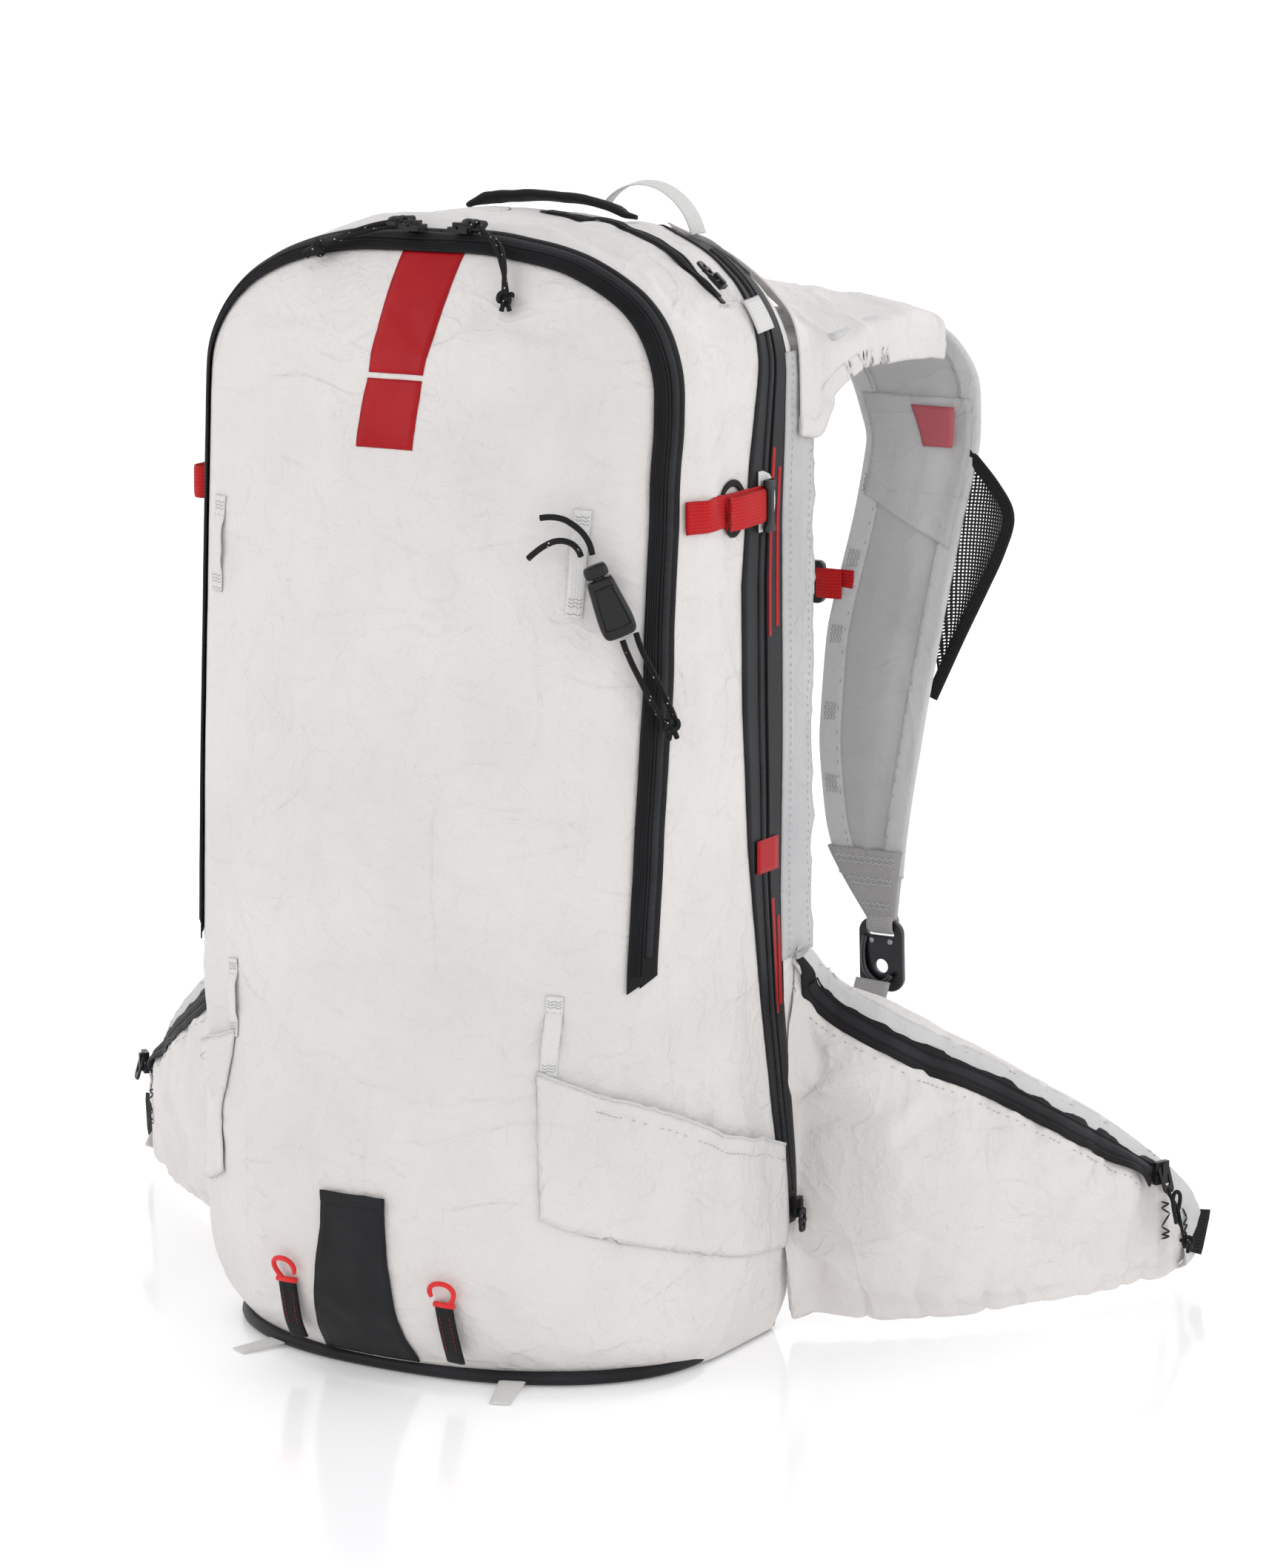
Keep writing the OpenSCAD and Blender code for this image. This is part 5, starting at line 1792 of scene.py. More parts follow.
STRAP_LINE = mm((0, 112, 504), (0, 150, 509), (0, 190, 507), (0, 211, 501), (0, 223.5, 489), (0, 228.5, 471),
    (0, 226, 440),
                (0, 219.5, 400), (0, 204, 340), (0, 195, 283), (0, 194, 240), (0, 196.5, 214))
STRAP_EDGES = mm((71, 143), (71, 144), (72, 146), (73, 149), (80, 157), (92, 165), (104, 167), (100, 160.5),
    (92.5, 156),
                 (93, 150), (98, 143.5), (105, 139.5))


def strap_frames(count):
    """Middle line, inner and outer edge, and the normal on the wearer's side, all along a right-hand strap."""
    spots = curve_through(STRAP_LINE, count)
    keys = np.concatenate([[0], np.cumsum(np.linalg.norm(np.diff(STRAP_LINE, axis=0), axis=1))])
    at = np.linspace(0, keys[-1], count)
    inner = smooth_rows(np.interp(at, keys, STRAP_EDGES[:, 0]), 9)
    outer = smooth_rows(np.interp(at, keys, STRAP_EDGES[:, 1]), 9)
    t = tangents(spots)
    normal = np.cross(t, arr([(1, 0, 0)] * count))
    return spots, inner, outer, normal * np.sign(normal[len(normal) - 1, 1] * -1)


def mirrored(obj, name):
    """The same piece for the other side of the bag."""
    mesh = obj.data.copy()
    mesh.transform(Matrix.Scale(-1, 4, (1, 0, 0)))
    mesh.flip_normals()
    other = bpy.data.objects.new(name, mesh)
    bpy.context.scene.collection.objects.link(other)
    return other


def both_sides(obj, material, body, node=None, way=None):
    """Finishes a right-hand piece and its mirror. When way is given, both pieces stay unattached and have their
    placement baked into their meshes; the points in way are not used.
    """
    base = obj.name
    other = mirrored(obj, base + "_left")
    obj.name = base + "_right"
    for o, side, sign in ((obj, "right", 1), (other, "left", -1)):
        finish_piece(o, material, None if way else body.replace("*", side))
        if way:
            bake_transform(o)
        if node:
            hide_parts(node.replace("*", side))
    return obj, other


def padded_strip(name, frames, thick, hem, cols=35, first=0, last=None):
    """The strap's body: thin sewn edges, and soft padding between them."""
    spots, inner, outer, normal = frames
    rows = []
    count = len(spots)
    for i in list(range(count))[first:last]:
        wide = outer[i] - inner[i]
        row_top, row_low = [], []
        for k in range(cols):
            share = k / (cols - 1)
            from_edge = min(share, 1 - share) * wide
            dome = float(soft_step(from_edge, hem, hem + 0.014))
            x = inner[i] + wide * share
            p = arr((x, spots[i][1], spots[i][2]))
            crumpled = 0.0009 * swell((x, p[1] * 0.5, p[2] * 0.7), 38.0, 4.2) * dome
            crumpled -= 0.0007 * ridges((x * 0.7, p[1], p[2] * 0.9), 28.0, 2.7, 4.0) * dome
            half = 0.0006 + (thick / 2 - 0.0006) * dome
            row_top.append(p + normal[i] * (half + crumpled))
            row_low.append(p - normal[i] * (half - crumpled))
        rows.append(row_top + row_low[::-1])
    return loft(name, rows, MAT["sheer"], None)


def make_straps():
    frames = strap_frames(170)
    way = ((0.108, 0.100, 0.504), (0.108, 0.128, 0.506))
    strap = padded_strip("shoulder_strap_body", frames, 0.0085, 0.011)
    for o in both_sides(strap, MAT["sheer"], "strap_*", "shoulder_strap_*", way):
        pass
    for word, sign in (("inner", 1), ("outer", -1)):
        line = frames[0].copy()
        line[:, 0] = (frames[1] if sign > 0 else frames[2]) + sign * 0.0052
        hem = ribbon("strap_hem_" + word, line, frames[3], 0.0125, 0.0030, lift=-0.0015, cuts=7)
        both_sides(hem, MAT["binding"], "strap_*", None, way)
        verts, faces = [], []
        for face in (1, -1):
            row = line.copy()
            row[:, 0] += sign * 0.0045
            v, f = stitch_row((row + frames[3] * face * 0.0014)[30:], frames[3][30:] * face, pitch=0.0042,
                run=0.0021, radius=0.0002)
            faces += [tuple(len(verts) + k for k in q) for q in f]
            verts += v
        both_sides(add_mesh("strap_stitches_" + word, verts, faces), MAT["greythread"], "strap_*")
    verts, faces = [], []
    for i in (80, 97, 114, 131, 147):
        for face in (1, -1):
            for far in (0.0022, 0.0040, 0.0058, 0.0076):
                line = frames[0].copy()
                line[:, 0] = frames[1] + far
                v, f = stitch_row((line + frames[3] * face * 0.0015)[i:i + 5], frames[3][i:i + 5] * face,
                    pitch=0.0014,
                                  radius=0.0002, zigzag=0.0007)
                faces += [tuple(len(verts) + k for k in q) for q in f]
                verts += v
    both_sides(add_mesh("strap_bartacks", verts, faces), MAT["greythread"], "strap_*")

    rows = []
    spots, inner, outer, normal = frames
    high, low_in, low_out = 62, 84, 96
    for k in range(40):
        t = k / 39
        row = []
        for c in range(16):
            share = 0.05 + 0.90 * c / 15
            i = high + (low_in + (low_out - low_in) * share - high) * t
            a, frac = int(i), i - int(i)
            q = spots[a] * (1 - frac) + spots[a + 1] * frac
            x = inner[a] + (outer[a] - inner[a]) * share
            edge = min(share, 1 - share) * (outer[a] - inner[a])
            dome = float(soft_step(edge, 0.011, 0.025))
            n = normal[a]
            row.append(arr((x, q[1], q[2])) + n * (0.0006 + 0.00365 * dome + 0.0014))
        rows.append(row)
    flat = arr(rows).reshape(-1, 3)
    n = len(flat)
    faces = grid_faces(40, 16)
    rim = []
    seen = {(p, q) for f in faces for p, q in zip(f, f[1:] + f[:1])}
    rim = [(q, p, p + n, q + n) for p, q in seen if (q, p) not in seen]
    lean = np.repeat(normal[[int(high + (90 - high) * k / 39) for k in range(40)]], 16, axis=0)
    layer = add_mesh("strap_layer", np.vstack([flat, flat - lean * 0.0005]),
                     faces + [tuple(v + n for v in f[::-1]) for f in faces] + rim,
                     np.vstack([flat[:, [0, 2]], flat[:, [0, 2]]]))
    both_sides(outward(layer), MAT["layer"], "strap_*")

    patch = []
    for k in range(10):
        i = 64 + k
        base = spots[i] + normal[i] * 0.0068
        patch.append([arr((x, base[1], base[2])) for x in np.linspace(outer[i] - 0.036 + 0.0009 * k,
            outer[i] - 0.011, 8)])
    flat = arr(patch).reshape(-1, 3)
    n = len(flat)
    faces = grid_faces(10, 8)
    seen = {(p, q) for f in faces for p, q in zip(f, f[1:] + f[:1])}
    rim = [(q, p, p + n, q + n) for p, q in seen if (q, p) not in seen]
    lean = np.repeat(normal[64:74], 8, axis=0)
    red = add_mesh("strap_red_patch", np.vstack([flat, flat - lean * 0.0004]),
                   faces + [tuple(v + n for v in f[::-1]) for f in faces] + rim, np.vstack([flat[:, [0, 2]]] * 2))
    both_sides(outward(red), MAT["veiled"], "strap_*")

    rows = []
    for k in range(26):
        t = k / 25
        z = 0.228 - 0.038 * t
        y = 0.1948 + 0.0047 * t
        left, right = 0.0985 + 0.0212 * t ** 1.15, 0.1420 - 0.0070 * t ** 0.8
        thick = 0.0028 - 0.0006 * t
        row = [(left + (right - left) * c / 8, y - thick, z) for c in range(9)]
        row += [(right - (right - left) * c / 8, y + thick, z) for c in range(9)]
        rows.append(row)
    end = loft("strap_end", rows, MAT["greyweb"], None)
    both_sides(end, MAT["greyweb"], "strap_*")
    verts, faces = [], []
    for z in (0.2235, 0.2205, 0.2120, 0.2092, 0.1985, 0.1960):
        t = (0.228 - z) / 0.038
        left, right = 0.0985 + 0.0212 * t ** 1.15, 0.1420 - 0.0070 * t ** 0.8
        for face in (-1, 1):
            y = 0.1948 + 0.0047 * t + face * (0.0030 - 0.0006 * t)
            line = [(x, y, z) for x in np.linspace(left + 0.003, right - 0.003, 8)]
            v, f = stitch_row(line, [(0, face, 0)] * 8, pitch=0.0017, radius=0.00024, zigzag=0.0007)
            faces += [tuple(len(verts) + k for k in q) for q in f]
            verts += v
    both_sides(add_mesh("strap_end_tacks", verts, faces), MAT["thread"], "strap_*")
    turn = [arr((0.1275, 0.1995 + 0.0034 * math.sin(a), 0.1880 - 0.0045 * math.cos(a))) for a in np.linspace(-2.7,
        2.7, 22)]
    out = [unit((0, math.sin(a), -math.cos(a))) for a in np.linspace(-2.7, 2.7, 22)]
    both_sides(ribbon("strap_end_loop", turn, out, 0.0150, 0.0012, cuts=7), MAT["greyweb"],
        "strap_*")

    edge = mm((160, 225, 436), (178, 223, 418), (188, 219, 404), (184, 217, 386), (175, 216, 366), (163, 214, 340),
        (150, 209, 308))
    rim = curve_through(edge, 60)
    seam_rows = np.linspace(74, 118, 60)
    rows = []
    for k in range(60):
        i = int(seam_rows[k])
        a = arr((outer[i] - 0.004, spots[i][1] + 0.0045, spots[i][2]))
        b = rim[k]
        row = []
        for c in range(14):
            t = c / 13
            sag = arr((0, 0.0060 * math.sin(math.pi * t), 0))
            row.append(a * (1 - t) + b * t + sag)
        rows.append(row)
    flat = arr(rows).reshape(-1, 3)
    net = add_mesh("strap_pocket", flat, grid_faces(60, 14), flat[:, [0, 2]])
    thicken(net, 0.0006)
    nets = both_sides(net, MAT["mesh"], "strap_*")
    bind = ribbon("strap_pocket_binding", rim, [(0.05, -1, 0)] * 60, 0.0065, 0.0022, lift=-0.0011, cuts=7)
    bound = both_sides(bind, MAT["blackweb"], "strap_*")
    seam = [arr((outer[int(i)] - 0.0045, spots[int(i)][1] + 0.0042, spots[int(i)][2])) for i in seam_rows]
    sewn = both_sides(ribbon("strap_pocket_seam", seam, [(0, 1, 0)] * 60, 0.0060, 0.0013, lift=-0.0002),
        MAT["blackweb"],
                      "strap_*")


FLANGE_LOW, FLANGE_HIGH = 0.196, 0.500  # the heights that the sheer edge beside the strip runs between


def make_shoulder_sheets():
    """The white cloth from the bag's top corners to the crests of the straps, and the sheer edges below it."""
    stations = (
        mm((64, 84, 560), (100, 87, 545), (124, 88, 527), (137, 85, 507), (142.0, 80, 461)),
        mm((65, 98, 546), (96, 100, 535), (120, 101, 519), (137, 99, 502), (141.0, 101, 457)),
        mm((66, 110, 538), (94, 112, 530), (118, 112, 518), (140, 111, 503), (142.5, 108, 476)),
        mm((68, 130, 531), (93, 131, 525), (119, 132, 516), (146, 132, 507), (148, 127, 487)),
        mm((69, 155, 526), (94, 156, 522), (120, 157, 516), (148.5, 157, 509.5), (151, 153, 488)),
        mm((71, 185, 520), (95, 186, 518.5), (122, 187, 515), (150.5, 187, 509.5), (154, 184, 488)),
        mm((73, 206, 513), (97, 208, 513), (123, 208, 511.5), (153.5, 207.5, 506), (157, 205, 487)))
    cols, count = 34, 60
    cross = [curve_through(s, cols) for s in stations]
    grid = np.stack([curve_through([c[k] for c in cross], count) for k in range(cols)], axis=1)
    flat = grid.reshape(-1, 3)
    for i, p in enumerate(flat):
        r, c = divmod(i, cols)
        free = math.sin(math.pi * r / (count - 1)) ** 0.5 * 0.9 + 0.1
        shift = 0.0030 * ridges((p[0] * 1.2, p[1] * 0.35, p[2]), 19.0, 6.6, 3.0) + 0.0020 * swell(p, 26.0, 3.3)
        shift += 0.0012 * ridges((p[0] * 0.5, p[1], p[2]), 42.0, 1.4, 3.0)
        flat[i] = p + arr((0.25, 0, 1)) * (shift * free - 0.0012)
    obj = add_mesh("shoulder_sheet", flat, [f[::-1] for f in grid_faces(count, cols)],
                   arr([(length_of(grid[r, :c + 1]) if c else 0.0,
                   r * 0.0033) for r in range(count) for c in range(cols)]))
    thicken(obj, 0.0009)
    way = ((0.105, 0.100, 0.520), (0.105, 0.135, 0.520))
    sheets = both_sides(obj, MAT["shell"], "strap_*", None, way)
    edge = grid[:, -1]
    rim = arr([p + arr((0.0002, 0, -0.0009)) for p in edge])
    out = [unit(np.cross(t, unit(grid[k, -1] - grid[k, -4]))) for k, t in enumerate(tangents(edge))]
    out = arr([n if n[2] > 0 else -n for n in out])
    hem = ribbon("shoulder_sheet_hem", rim - arr([unit(grid[k, -1] - grid[k, -4]) for k in range(count)]) * 0.0045,
        out,
                 0.0100, 0.0022, lift=-0.0011, cuts=7)
    hems = both_sides(hem, MAT["shell"], "strap_*", None, way)

    zs = np.linspace(FLANGE_LOW, FLANGE_HIGH, 96)
    rows = []
    for z in zs:
        y1 = strip_range(z)[1]
        row = []
        for k in range(12):
            s = k / 11
            y = (y1 - 0.0015) + (0.1015 - y1) * s
            spot, n = side_spot(1, min(y, 0.0780), z)
            free = float(soft_step(y, 0.072, 0.1015))
            x = (spot[0] + 0.0014) * (1 - free) + (0.1388 - max(0.0, z - 0.465) * 0.12) * free
            x += 0.0013 * swell((0.1, y, z), 55.0, 7.1) * s + 0.0010 * ridges((0.2, y, z), 60.0, 4.9, 3.0) * s
            row.append((x, y + 0.0010 * swell((y, 0.3, z), 40.0, 9.9) * s, z))
        rows.append(row)
    flat = arr(rows).reshape(-1, 3)
    obj = add_mesh("side_flange", flat, grid_faces(96, 12), flat[:, [1, 2]])
    thicken(obj, 0.0008)
    flanges = both_sides(outward(obj), MAT["flange"], "root")
    verts, faces = [], []
    for col in (2, 9):
        line = arr([r[col] for r in rows]) + arr((0.0006, 0, 0))
        v, f = stitch_row(line, [(1, 0.1, 0)] * 96, pitch=0.0040, run=0.0020, radius=0.0002)
        faces += [tuple(len(verts) + k for k in q) for q in f]
        verts += v
    rows_sewn = both_sides(add_mesh("side_flange_stitches", verts, faces), MAT["greythread"],
        "root")


def cut_plate(name, outer, holes, thick, bevel):
    """A flat plate in XY with any number of holes and rounded edges, centred on z = 0."""
    data = bpy.data.curves.new(name, "CURVE")
    data.dimensions = "2D"
    data.fill_mode = "BOTH"
    data.extrude = thick / 2 - bevel
    data.bevel_depth = bevel
    data.bevel_resolution = 2
    for line in [outer] + list(holes):
        spline = data.splines.new("POLY")
        spline.points.add(len(line) - 1)
        for k, q in enumerate(line):
            spline.points[k].co = (q[0], q[1], 0, 1)
        spline.use_cyclic_u = True
    temp = bpy.data.objects.new(name + "_c", data)
    bpy.context.scene.collection.objects.link(temp)
    mesh = bpy.data.meshes.new_from_object(temp.evaluated_get(bpy.context.evaluated_depsgraph_get()))
    bpy.data.objects.remove(temp)
    obj = bpy.data.objects.new(name, mesh)
    bpy.context.scene.collection.objects.link(obj)
    bm = bmesh.new()
    bm.from_mesh(mesh)
    bmesh.ops.remove_doubles(bm, verts=bm.verts[:], dist=1e-6)
    bmesh.ops.recalc_face_normals(bm, faces=bm.faces[:])
    bm.to_mesh(mesh)
    bm.free()
    return obj


def circle(r, count=40, at=(0, 0), squash=1.0):
    return [(at[0] + r * math.cos(a) * squash, at[1] + r * math.sin(a)) for a in np.linspace(0, 2 * math.pi, count,
        endpoint=False)]


def make_harness():
    outline = slot_outline(0.0375, 0.0240, 0.0070, 60, taper=1.0)
    bar_slot = [(x - 0.0120, y) for x, y in slot_outline(0.0052, 0.0170, 0.0022, 40)]
    eye = circle(0.0046, 40, (0.0062, 0.0))
    for side, word in ((1, "right"), (-1, "left")):
        body = "strap_hook_" + word
        obj = cut_plate("hook_plate_" + word, outline, [bar_slot, eye], 0.0034, 0.0008)
        place(obj, basis(mm((side * 127.0, 200.2, 171.0))[0], (0, 0.05, -1), (0, -1, 0)))
        finish_piece(obj, MAT["hook"], body)
        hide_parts("strap_hook_" + word)
        gate = sweep_mesh("hook_gate_" + word, curve_through(mm((side * 118.5, 197.6, 181), (side * 117.6, 196.6,
            172),
                          (side * 119.5, 196.6, 162), (side * 127, 197.0, 156.5), (side * 134.5, 196.6, 161)), 40),
                          0.0014, 10)
        finish_piece(gate, MAT["hook"], body)
        rivets = []
        for x in (121.5, 132.5):
            rivets.append(sweep_mesh("rv", mm((side * x, 197.9, 178.5), (side * x, 198.3, 178.5), (side * x, 201.9,
                178.5),
                                              (side * x, 202.4, 178.5)), [0.0011, 0.0018, 0.0018, 0.0011], 14))
        finish_piece(join("hook_rivets_" + word, rivets), MAT["steel"], body)
        line = curve_through(mm((side * 121, 110, 56), (side * 121.5, 128, 68), (side * 122, 155, 94),
            (side * 123, 180, 128),
                                (side * 124.5, 195, 158)), 70)
        t = tangents(line)
        normals = np.cross(t, arr([(1, 0, 0)] * 70))
        normals *= np.sign(normals[:, 1:2])
        web = ribbon("lower_web_" + word, line, normals, 0.0200, 0.0016, lift=-0.0008, cuts=9)
        finish_piece(web, MAT["greyweb"], "root")
        if side > 0:
            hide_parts("lower_straps")
        rows = []
        for i in (3, 6, 60, 64):
            across = arr([line[i] + arr((w, 0, 0)) for w in np.linspace(-0.008, 0.008, 8)])
            rows += [(across + normals[i] * 0.0008, [normals[i]] * 8),
                (across - normals[i] * 0.0008, [-normals[i]] * 8)]
        stitches("lower_tacks_" + word, rows, MAT["thread"], "shell_fabric", "root", pitch=0.0018, zigzag=0.0008)

        body = "strap_" + word
        line = mm(*[(side * x, 208.8 - 0.02 * (x - 84), 363.5) for x in np.linspace(104, 84.5, 26)])
        web = ribbon("chest_web_" + word, line, [(0, -1, 0)] * 26, 0.0150, 0.0013, lift=-0.0006, cuts=9)
        finish_piece(web, MAT["red"], body)
        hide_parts("chest_strap_" + word)
        line = mm(*[(side * x, 207.0 - 1.4 * math.sin(math.pi * (x - 83.5) / 15), 363.5) for x in np.linspace(98,
            83.5, 22)])
        fold = ribbon("chest_fold_" + word, line, [(0, -1, 0)] * 22, 0.0155, 0.0013, lift=-0.0002, cuts=9)
        finish_piece(fold, MAT["red"], body)
        frame_plate = cut_plate("cb_frame", slot_outline(0.0105, 0.0205, 0.0024, 48),
            [slot_outline(0.0042, 0.0160, 0.0014, 40)],
                                0.0052, 0.0010)
        place(frame_plate, Matrix.Translation((side * 0.0805, 0.2090, 0.3635)) @ Matrix.Rotation(math.pi / 2, 4,
            "X"))
        tip = rounded_box("cb_tip", (side * 0.0715 - 0.0052, 0.2063, 0.3563),
            (side * 0.0715 + 0.0052, 0.2117, 0.3707), 0.0020, 4)
        prong = rounded_box("cb_prong", (side * 0.0685 - 0.0035, 0.2070, 0.3532),
            (side * 0.0685 + 0.0035, 0.2110, 0.3738), 0.0016, 4)
        finish_piece(join("chest_buckle_" + word, [frame_plate, tip, prong]), MAT["plastic"], body)

    stem = []
    for k in range(46):
        t = k / 45
        z = 0.2705 + 0.0575 * t
        r = 0.0046 + 0.0014 * math.sin(math.pi * t) + (0.0007 if 12 < k < 38 and k % 4 < 2 else 0)
        stem.append([(-0.130 + 1.15 * r * math.cos(a), 0.217 + 0.9 * r * math.sin(a), z) for a in np.linspace(0,
            2 * math.pi, 25)[:-1]])
    stem = loft("tg_stem", stem, MAT["redpart"], None)
    bar = []
    for k in range(30):
        t = k / 29 * 2 - 1
        r = 0.0064 * (1 - 0.10 * (1 - t * t)) * math.sqrt(max(0.02, 1 - max(0.0, abs(t) - 0.82) ** 2 / 0.0335))
        bar.append([(-0.130 + 0.0165 * t, 0.217 + 0.92 * r * math.cos(a), 0.327 + r * math.sin(a))
                    for a in np.linspace(0, 2 * math.pi, 25)[:-1]])
    bar = loft("tg_bar", bar, MAT["redpart"], None)
    handle = finish_piece(join("trigger_grip", [stem, bar]), MAT["redpart"], "trigger_handle")
    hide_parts("trigger_handle")


# ---------------------------------------------------------------- back panel, yoke and base

def pad_mesh(name, x0, x1, z0, z1, y_base, depth, corner, seams, cols=64, rows=150):
    """A back pad: rounded in plan, thick in the middle, drawn in along its quilting seams."""
    verts_b, uv = [], []
    for r in range(rows):
        z = z0 + (z1 - z0) * r / (rows - 1)
        inset = 0.0
        for edge in (z - z0, z1 - z):
            if edge < corner:
                inset = max(inset, corner - math.sqrt(max(0.0, corner ** 2 - (corner - edge) ** 2)))
        a, b = x0 + inset * (1 if abs(x0) > abs(x1) else 0.25), x1 - inset * (1 if abs(x1) > abs(x0) else 0.25)
        for c in range(cols):
            x = a + (b - a) * c / (cols - 1)
            rim = min(x - a, b - x, z - z0, z1 - z)
            h = float(soft_step(rim, -0.004, 0.016)) ** 0.6
            seam = min([abs(z - s - 0.10 * abs(x) + 0.008) for s in seams] + [9])
            h *= 1 - 0.40 * (1 - float(soft_step(seam, 0.0005, 0.011)))
            y = y_base + 0.0018 + (depth - 0.0018) * h
            y += 0.0007 * swell((x, y, z), 24.0, 5.5) * h - 0.0005 * ridges((x, y, z), 38.0, 9.1, 3.0) * h
            verts_b.append((x, y, z))
            uv.append((x, z))
    n = len(verts_b)
    verts_f = [(x, y_base, z) for x, y, z in verts_b]
    faces = grid_faces(rows, cols)
    seen = {(p, q) for f in faces for p, q in zip(f, f[1:] + f[:1])}
    rim = [(q, p, p + n, q + n) for p, q in seen if (q, p) not in seen]
    obj = add_mesh(name, verts_b + verts_f, faces + [tuple(v + n for v in f[::-1]) for f in faces] + rim, uv + uv)
    return outward(obj)


def make_back():
    seams = (0.105, 0.180, 0.255, 0.330, 0.405)
    pads = [pad_mesh("pad", 0.021, 0.1315, 0.031, 0.487, 0.0885, 0.0185, 0.030, seams),
            pad_mesh("pad", -0.1315, -0.021, 0.031, 0.487, 0.0885, 0.0185, 0.030, seams)]
    base = pad_mesh("channel", -0.024, 0.024, 0.034, 0.484, 0.0883, 0.0050, 0.004, (), 16, 60)
    panel = join("back_pads", pads)
    finish_piece(panel, MAT["spacer"], "root")
    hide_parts("back_panel")
    finish_piece(base, MAT["shell"], "root")
    outline = []
    for x, z in curve_through([(0, 0.0305, 0), (0.10, 0.0305, 0), (0.124, 0.036, 0), (0.1318, 0.060, 0),
        (0.1322, 0.26, 0),
                               (0.1318, 0.458, 0), (0.124, 0.482, 0), (0.10, 0.4875, 0), (0, 0.4875, 0)], 200)[:,
                               :2]:
        outline.append((x, z))
    full = [(x, 0.0915, z) for x, z in outline] + [(-x, 0.0915, z) for x, z in outline[::-1]][1:-1]
    full = arr(full + full[:1])
    binding = ribbon("back_binding", full, [unit((0.15 * np.sign(p[0]), 1, 0)) for p in full], 0.0070, 0.0026,
        lift=-0.0013, cuts=7)
    finish_piece(binding, MAT["binding"], "root")
    yoke_rows = []
    for k in range(70):
        t = k / 69 * 2 - 1
        x = 0.1365 * t
        end = math.sqrt(max(0.03, 1 - max(0.0, abs(t) - 0.93) ** 2 / 0.0052))
        h = 0.0088 * end
        d = 0.0088 * end * (1 - 0.12 * math.exp(-(x / 0.02) ** 2))
        row = []
        for a in np.linspace(0, 2 * math.pi, 33)[:-1]:
            ca, sa = math.cos(a), math.sin(a)
            row.append((x, 0.0985 + math.copysign(abs(ca) ** 0.55, ca) * d,
                0.4985 + math.copysign(abs(sa) ** 0.55, sa) * h
                        + 0.0005 * swell((x, ca, sa), 30.0, 3.3)))
        yoke_rows.append(row)
    yoke = loft("yoke_pad", yoke_rows, MAT["shell"], "root")
    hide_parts("yoke_panel")


def make_base():
    ring = arr([(p[0], p[1], 0) for p in ring_of(138, 87, 10, -92.5, 2.2, 60)])
    out = []
    for inset, z in ((13.0, 7.0), (10.5, 7.2), (8.2, 6.6), (7.0, 5.0), (6.8, 3.4), (7.4, 1.8), (9.2, 0.6),
        (13.0, 0.15),
                     (45.0, 0.1), (90.0, 0.1)):
        centre = arr((0, 0.0, 0))
        d = np.linalg.norm(ring - centre, axis=1, keepdims=True)
        q = ring * (1 - inset * MM / d)
        q[:, 2] = z * MM
        q[:, 2] += arr([0.0004 * swell((p[0], p[1], 0.1 * z), 40.0, 2.9) for p in q]) * (1.5 < z < 9)
        out.append(q)
    tray = loft("base_tray", out, MAT["coated"], "root")
    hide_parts("base_reinforcement")
    for name, at, turn in (("right", (72, -88), 0.35), ("left", (-75, -78), -0.42)):
        way = arr((math.sin(turn), -math.cos(turn), 0))
        start = mm((at[0], at[1], 2.6))[0] - way * 0.016
        line = [start + way * 0.034 * t + arr((0, 0, -0.0019 * t)) for t in np.linspace(0, 1, 14)]
        tab = ribbon("base_tab_" + name, line, [(0, 0, 1)] * 14,
            [0.0135 - 0.0028 * t for t in np.linspace(0, 1, 14)], 0.0009,
                     lift=-0.0002)
        finish_piece(tab, MAT["tab"], "root")


# ---------------------------------------------------------------- side sleeves

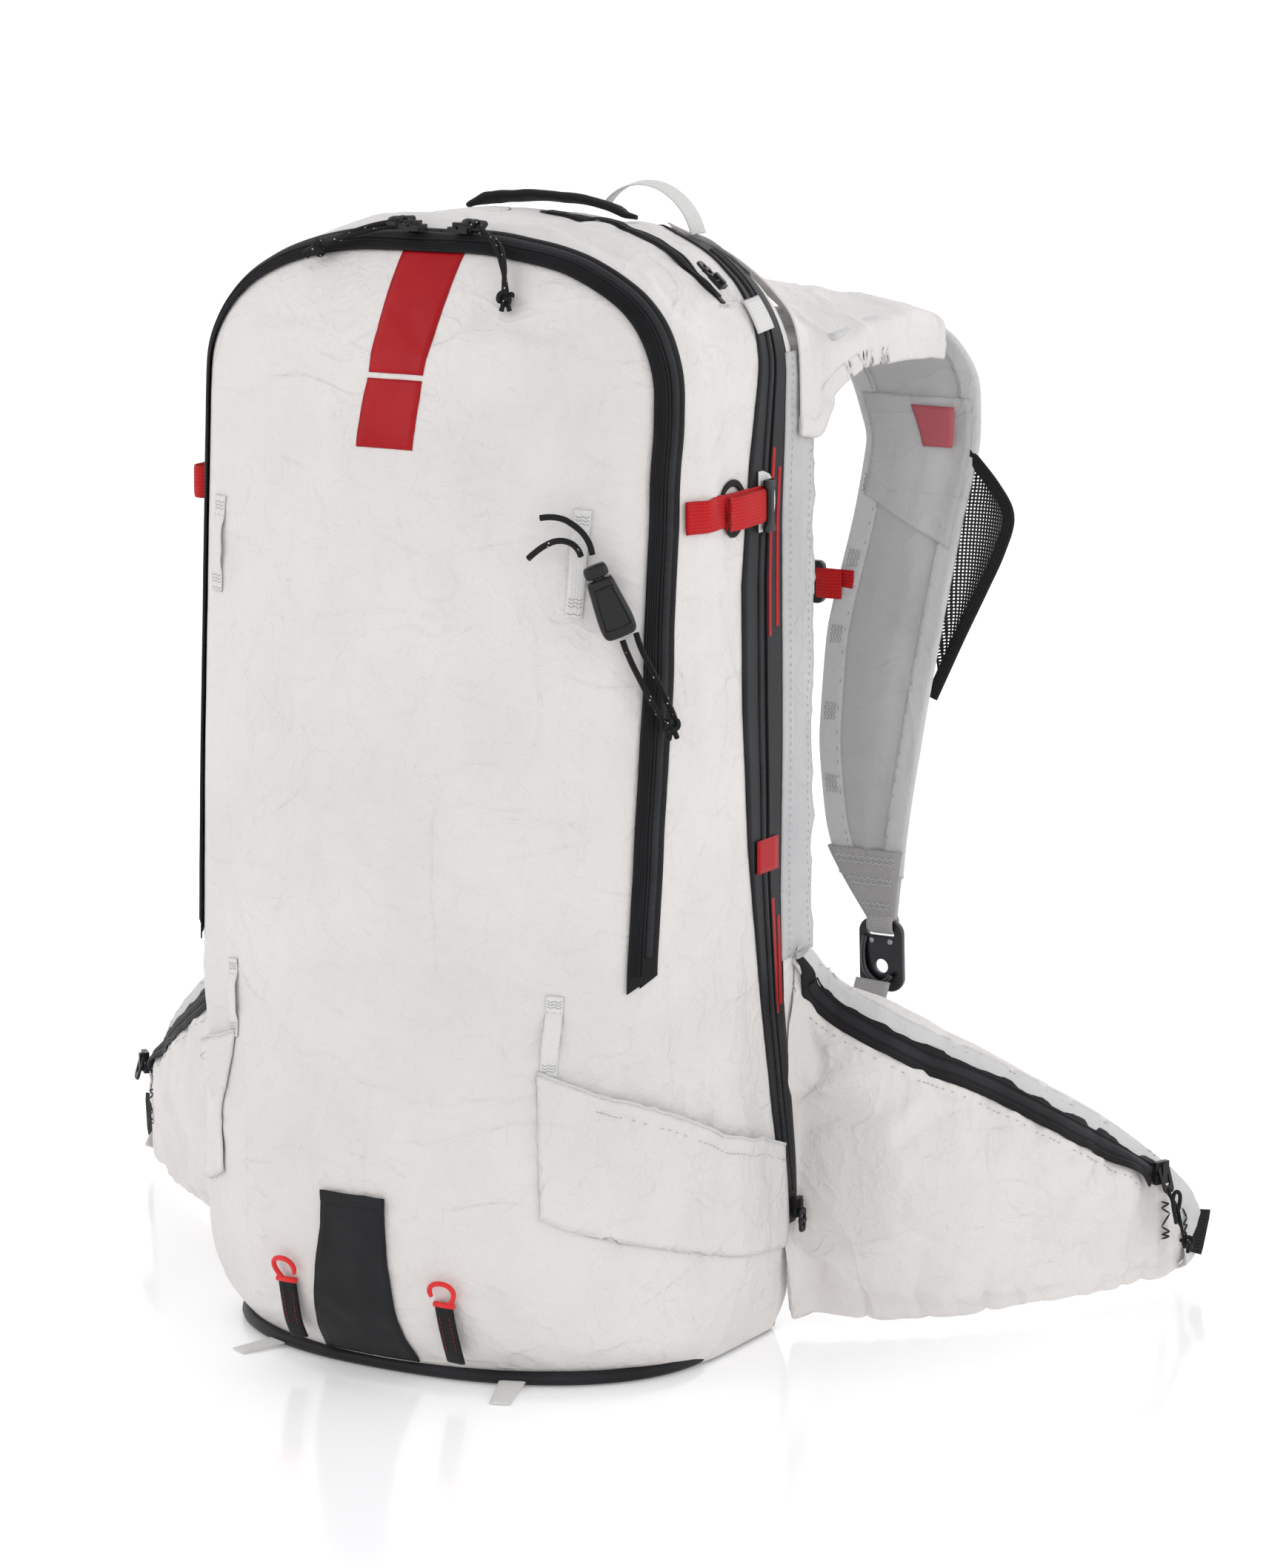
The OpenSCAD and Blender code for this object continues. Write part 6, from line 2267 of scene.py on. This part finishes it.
def make_sleeves():
    for side, word in ((1, "right"), (-1, "left")):
        top = curve_through(mm((90, -88, 164), (112, -66, 152), (135, -40, 140), (140, 8, 120), (141, 67, 101)), 60)
        low = curve_through(mm((91, -88, 92), (113, -66, 80), (135, -40, 70), (140, 15, 56), (140, 73, 46)), 60)
        rows, normals = [], []
        for k in range(60):
            line = [top[k] * (1 - t) + low[k] * t for t in np.linspace(0, 1, 18)]
            spots, n = snap([(p[0] * side, p[1], p[2]) for p in line], BAG, 0)
            rows.append(spots)
            normals.append(n)
        spots = arr(rows).reshape(-1, 3)
        n = arr(normals)
        for _ in range(3):
            n = (n + np.roll(n, 1, 0) + np.roll(n, -1, 0)) / 3
        n = n / np.linalg.norm(n, axis=2, keepdims=True)
        n[0], n[-1] = normals[0], normals[-1]
        n = n.reshape(-1, 3)
        lift = []
        for i, p in enumerate(spots):
            k, c = divmod(i, 18)
            u, v = k / 59, c / 17
            gape = 0.0034 * (1 - v) ** 2 * math.sin(math.pi * u) ** 0.5
            lift.append(0.0007 + gape + 0.0009 * max(0, swell(p, 40.0, 5.1)))
        lift = arr(lift)[:, None]
        size = len(spots)
        faces = grid_faces(60, 18)
        seen = {(p, q) for f in faces for p, q in zip(f, f[1:] + f[:1])}
        rim = [(q, p, p + size, q + size) for p, q in seen if (q, p) not in seen]
        uv = arr([(k * 0.0033, c * 0.004) for k in range(60) for c in range(18)])
        obj = add_mesh("side_sleeve_" + word, np.vstack([spots + n * (lift + 0.0009), spots + n * lift]),
                       faces + [tuple(v + size for v in f[::-1]) for f in faces] + rim, np.vstack([uv, uv]))
        finish_piece(outward(obj), MAT["shell"], "root")
        edge = (spots + n * (lift + 0.0008)).reshape(60, 18, 3)[:, 0]
        nn = n.reshape(60, 18, 3)[:, 0]
        down = unit((0, 0, -1))
        hem = ribbon("side_sleeve_hem_" + word, edge + down * 0.0002, nn, 0.0016, 0.0012, lift=-0.0008)
        finish_piece(hem, MAT["binding"], "root")
        stitches("side_sleeve_stitches_" + word, [(edge + down * 0.0085 + nn * 0.0003, nn)], MAT["greythread"],
            "shell_fabric", "root",
                 pitch=0.0040, run=0.0020, radius=0.0002)


MAT["layer"] = laminate("layer_laminate", (0.72, 0.715, 0.715), (0.62, 0.615, 0.62), 0.4, 0.05, 0.3)
MAT["veiled"] = coated("veiled_red", (0.42, 0.10, 0.115), 0.45, lifted=1.15)
MAT["flange"] = laminate("flange_laminate", (0.74, 0.735, 0.74), (0.64, 0.635, 0.645), 0.4, 0.10, 0.3)
MAT["hook"] = brushed("hook_alloy", (0.075, 0.076, 0.08), 0.3)
make_straps()
make_shoulder_sheets()
make_harness()
make_back()
make_base()
make_sleeves()
for part, kind in (("frame_sheet", "sheetpart"), ("frame_stays", "alloy"), ("folded_airbags", "airbag"),
    ("venturi_left", "plastic"),
                   ("venturi_right", "plastic"), ("gas_hoses", "rubber"), ("valve_block", "alloy"),
                   ("firing_lever", "steel"),
                   ("gas_cartridge", "steel"), ("trigger_cable", "rubber")):
    cad_material(part, MAT[kind])


# ---------------------------------------------------------------- sizes, and the end

def plain(box):
    """The bounds as nested plain lists."""
    if isinstance(box, dict):
        return {k: plain(v) for k, v in box.items()}
    if hasattr(box, "__len__"):
        return [plain(v) for v in box]
    return float(box)


{"cad": plain(cad_box), "visual": plain(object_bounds())}
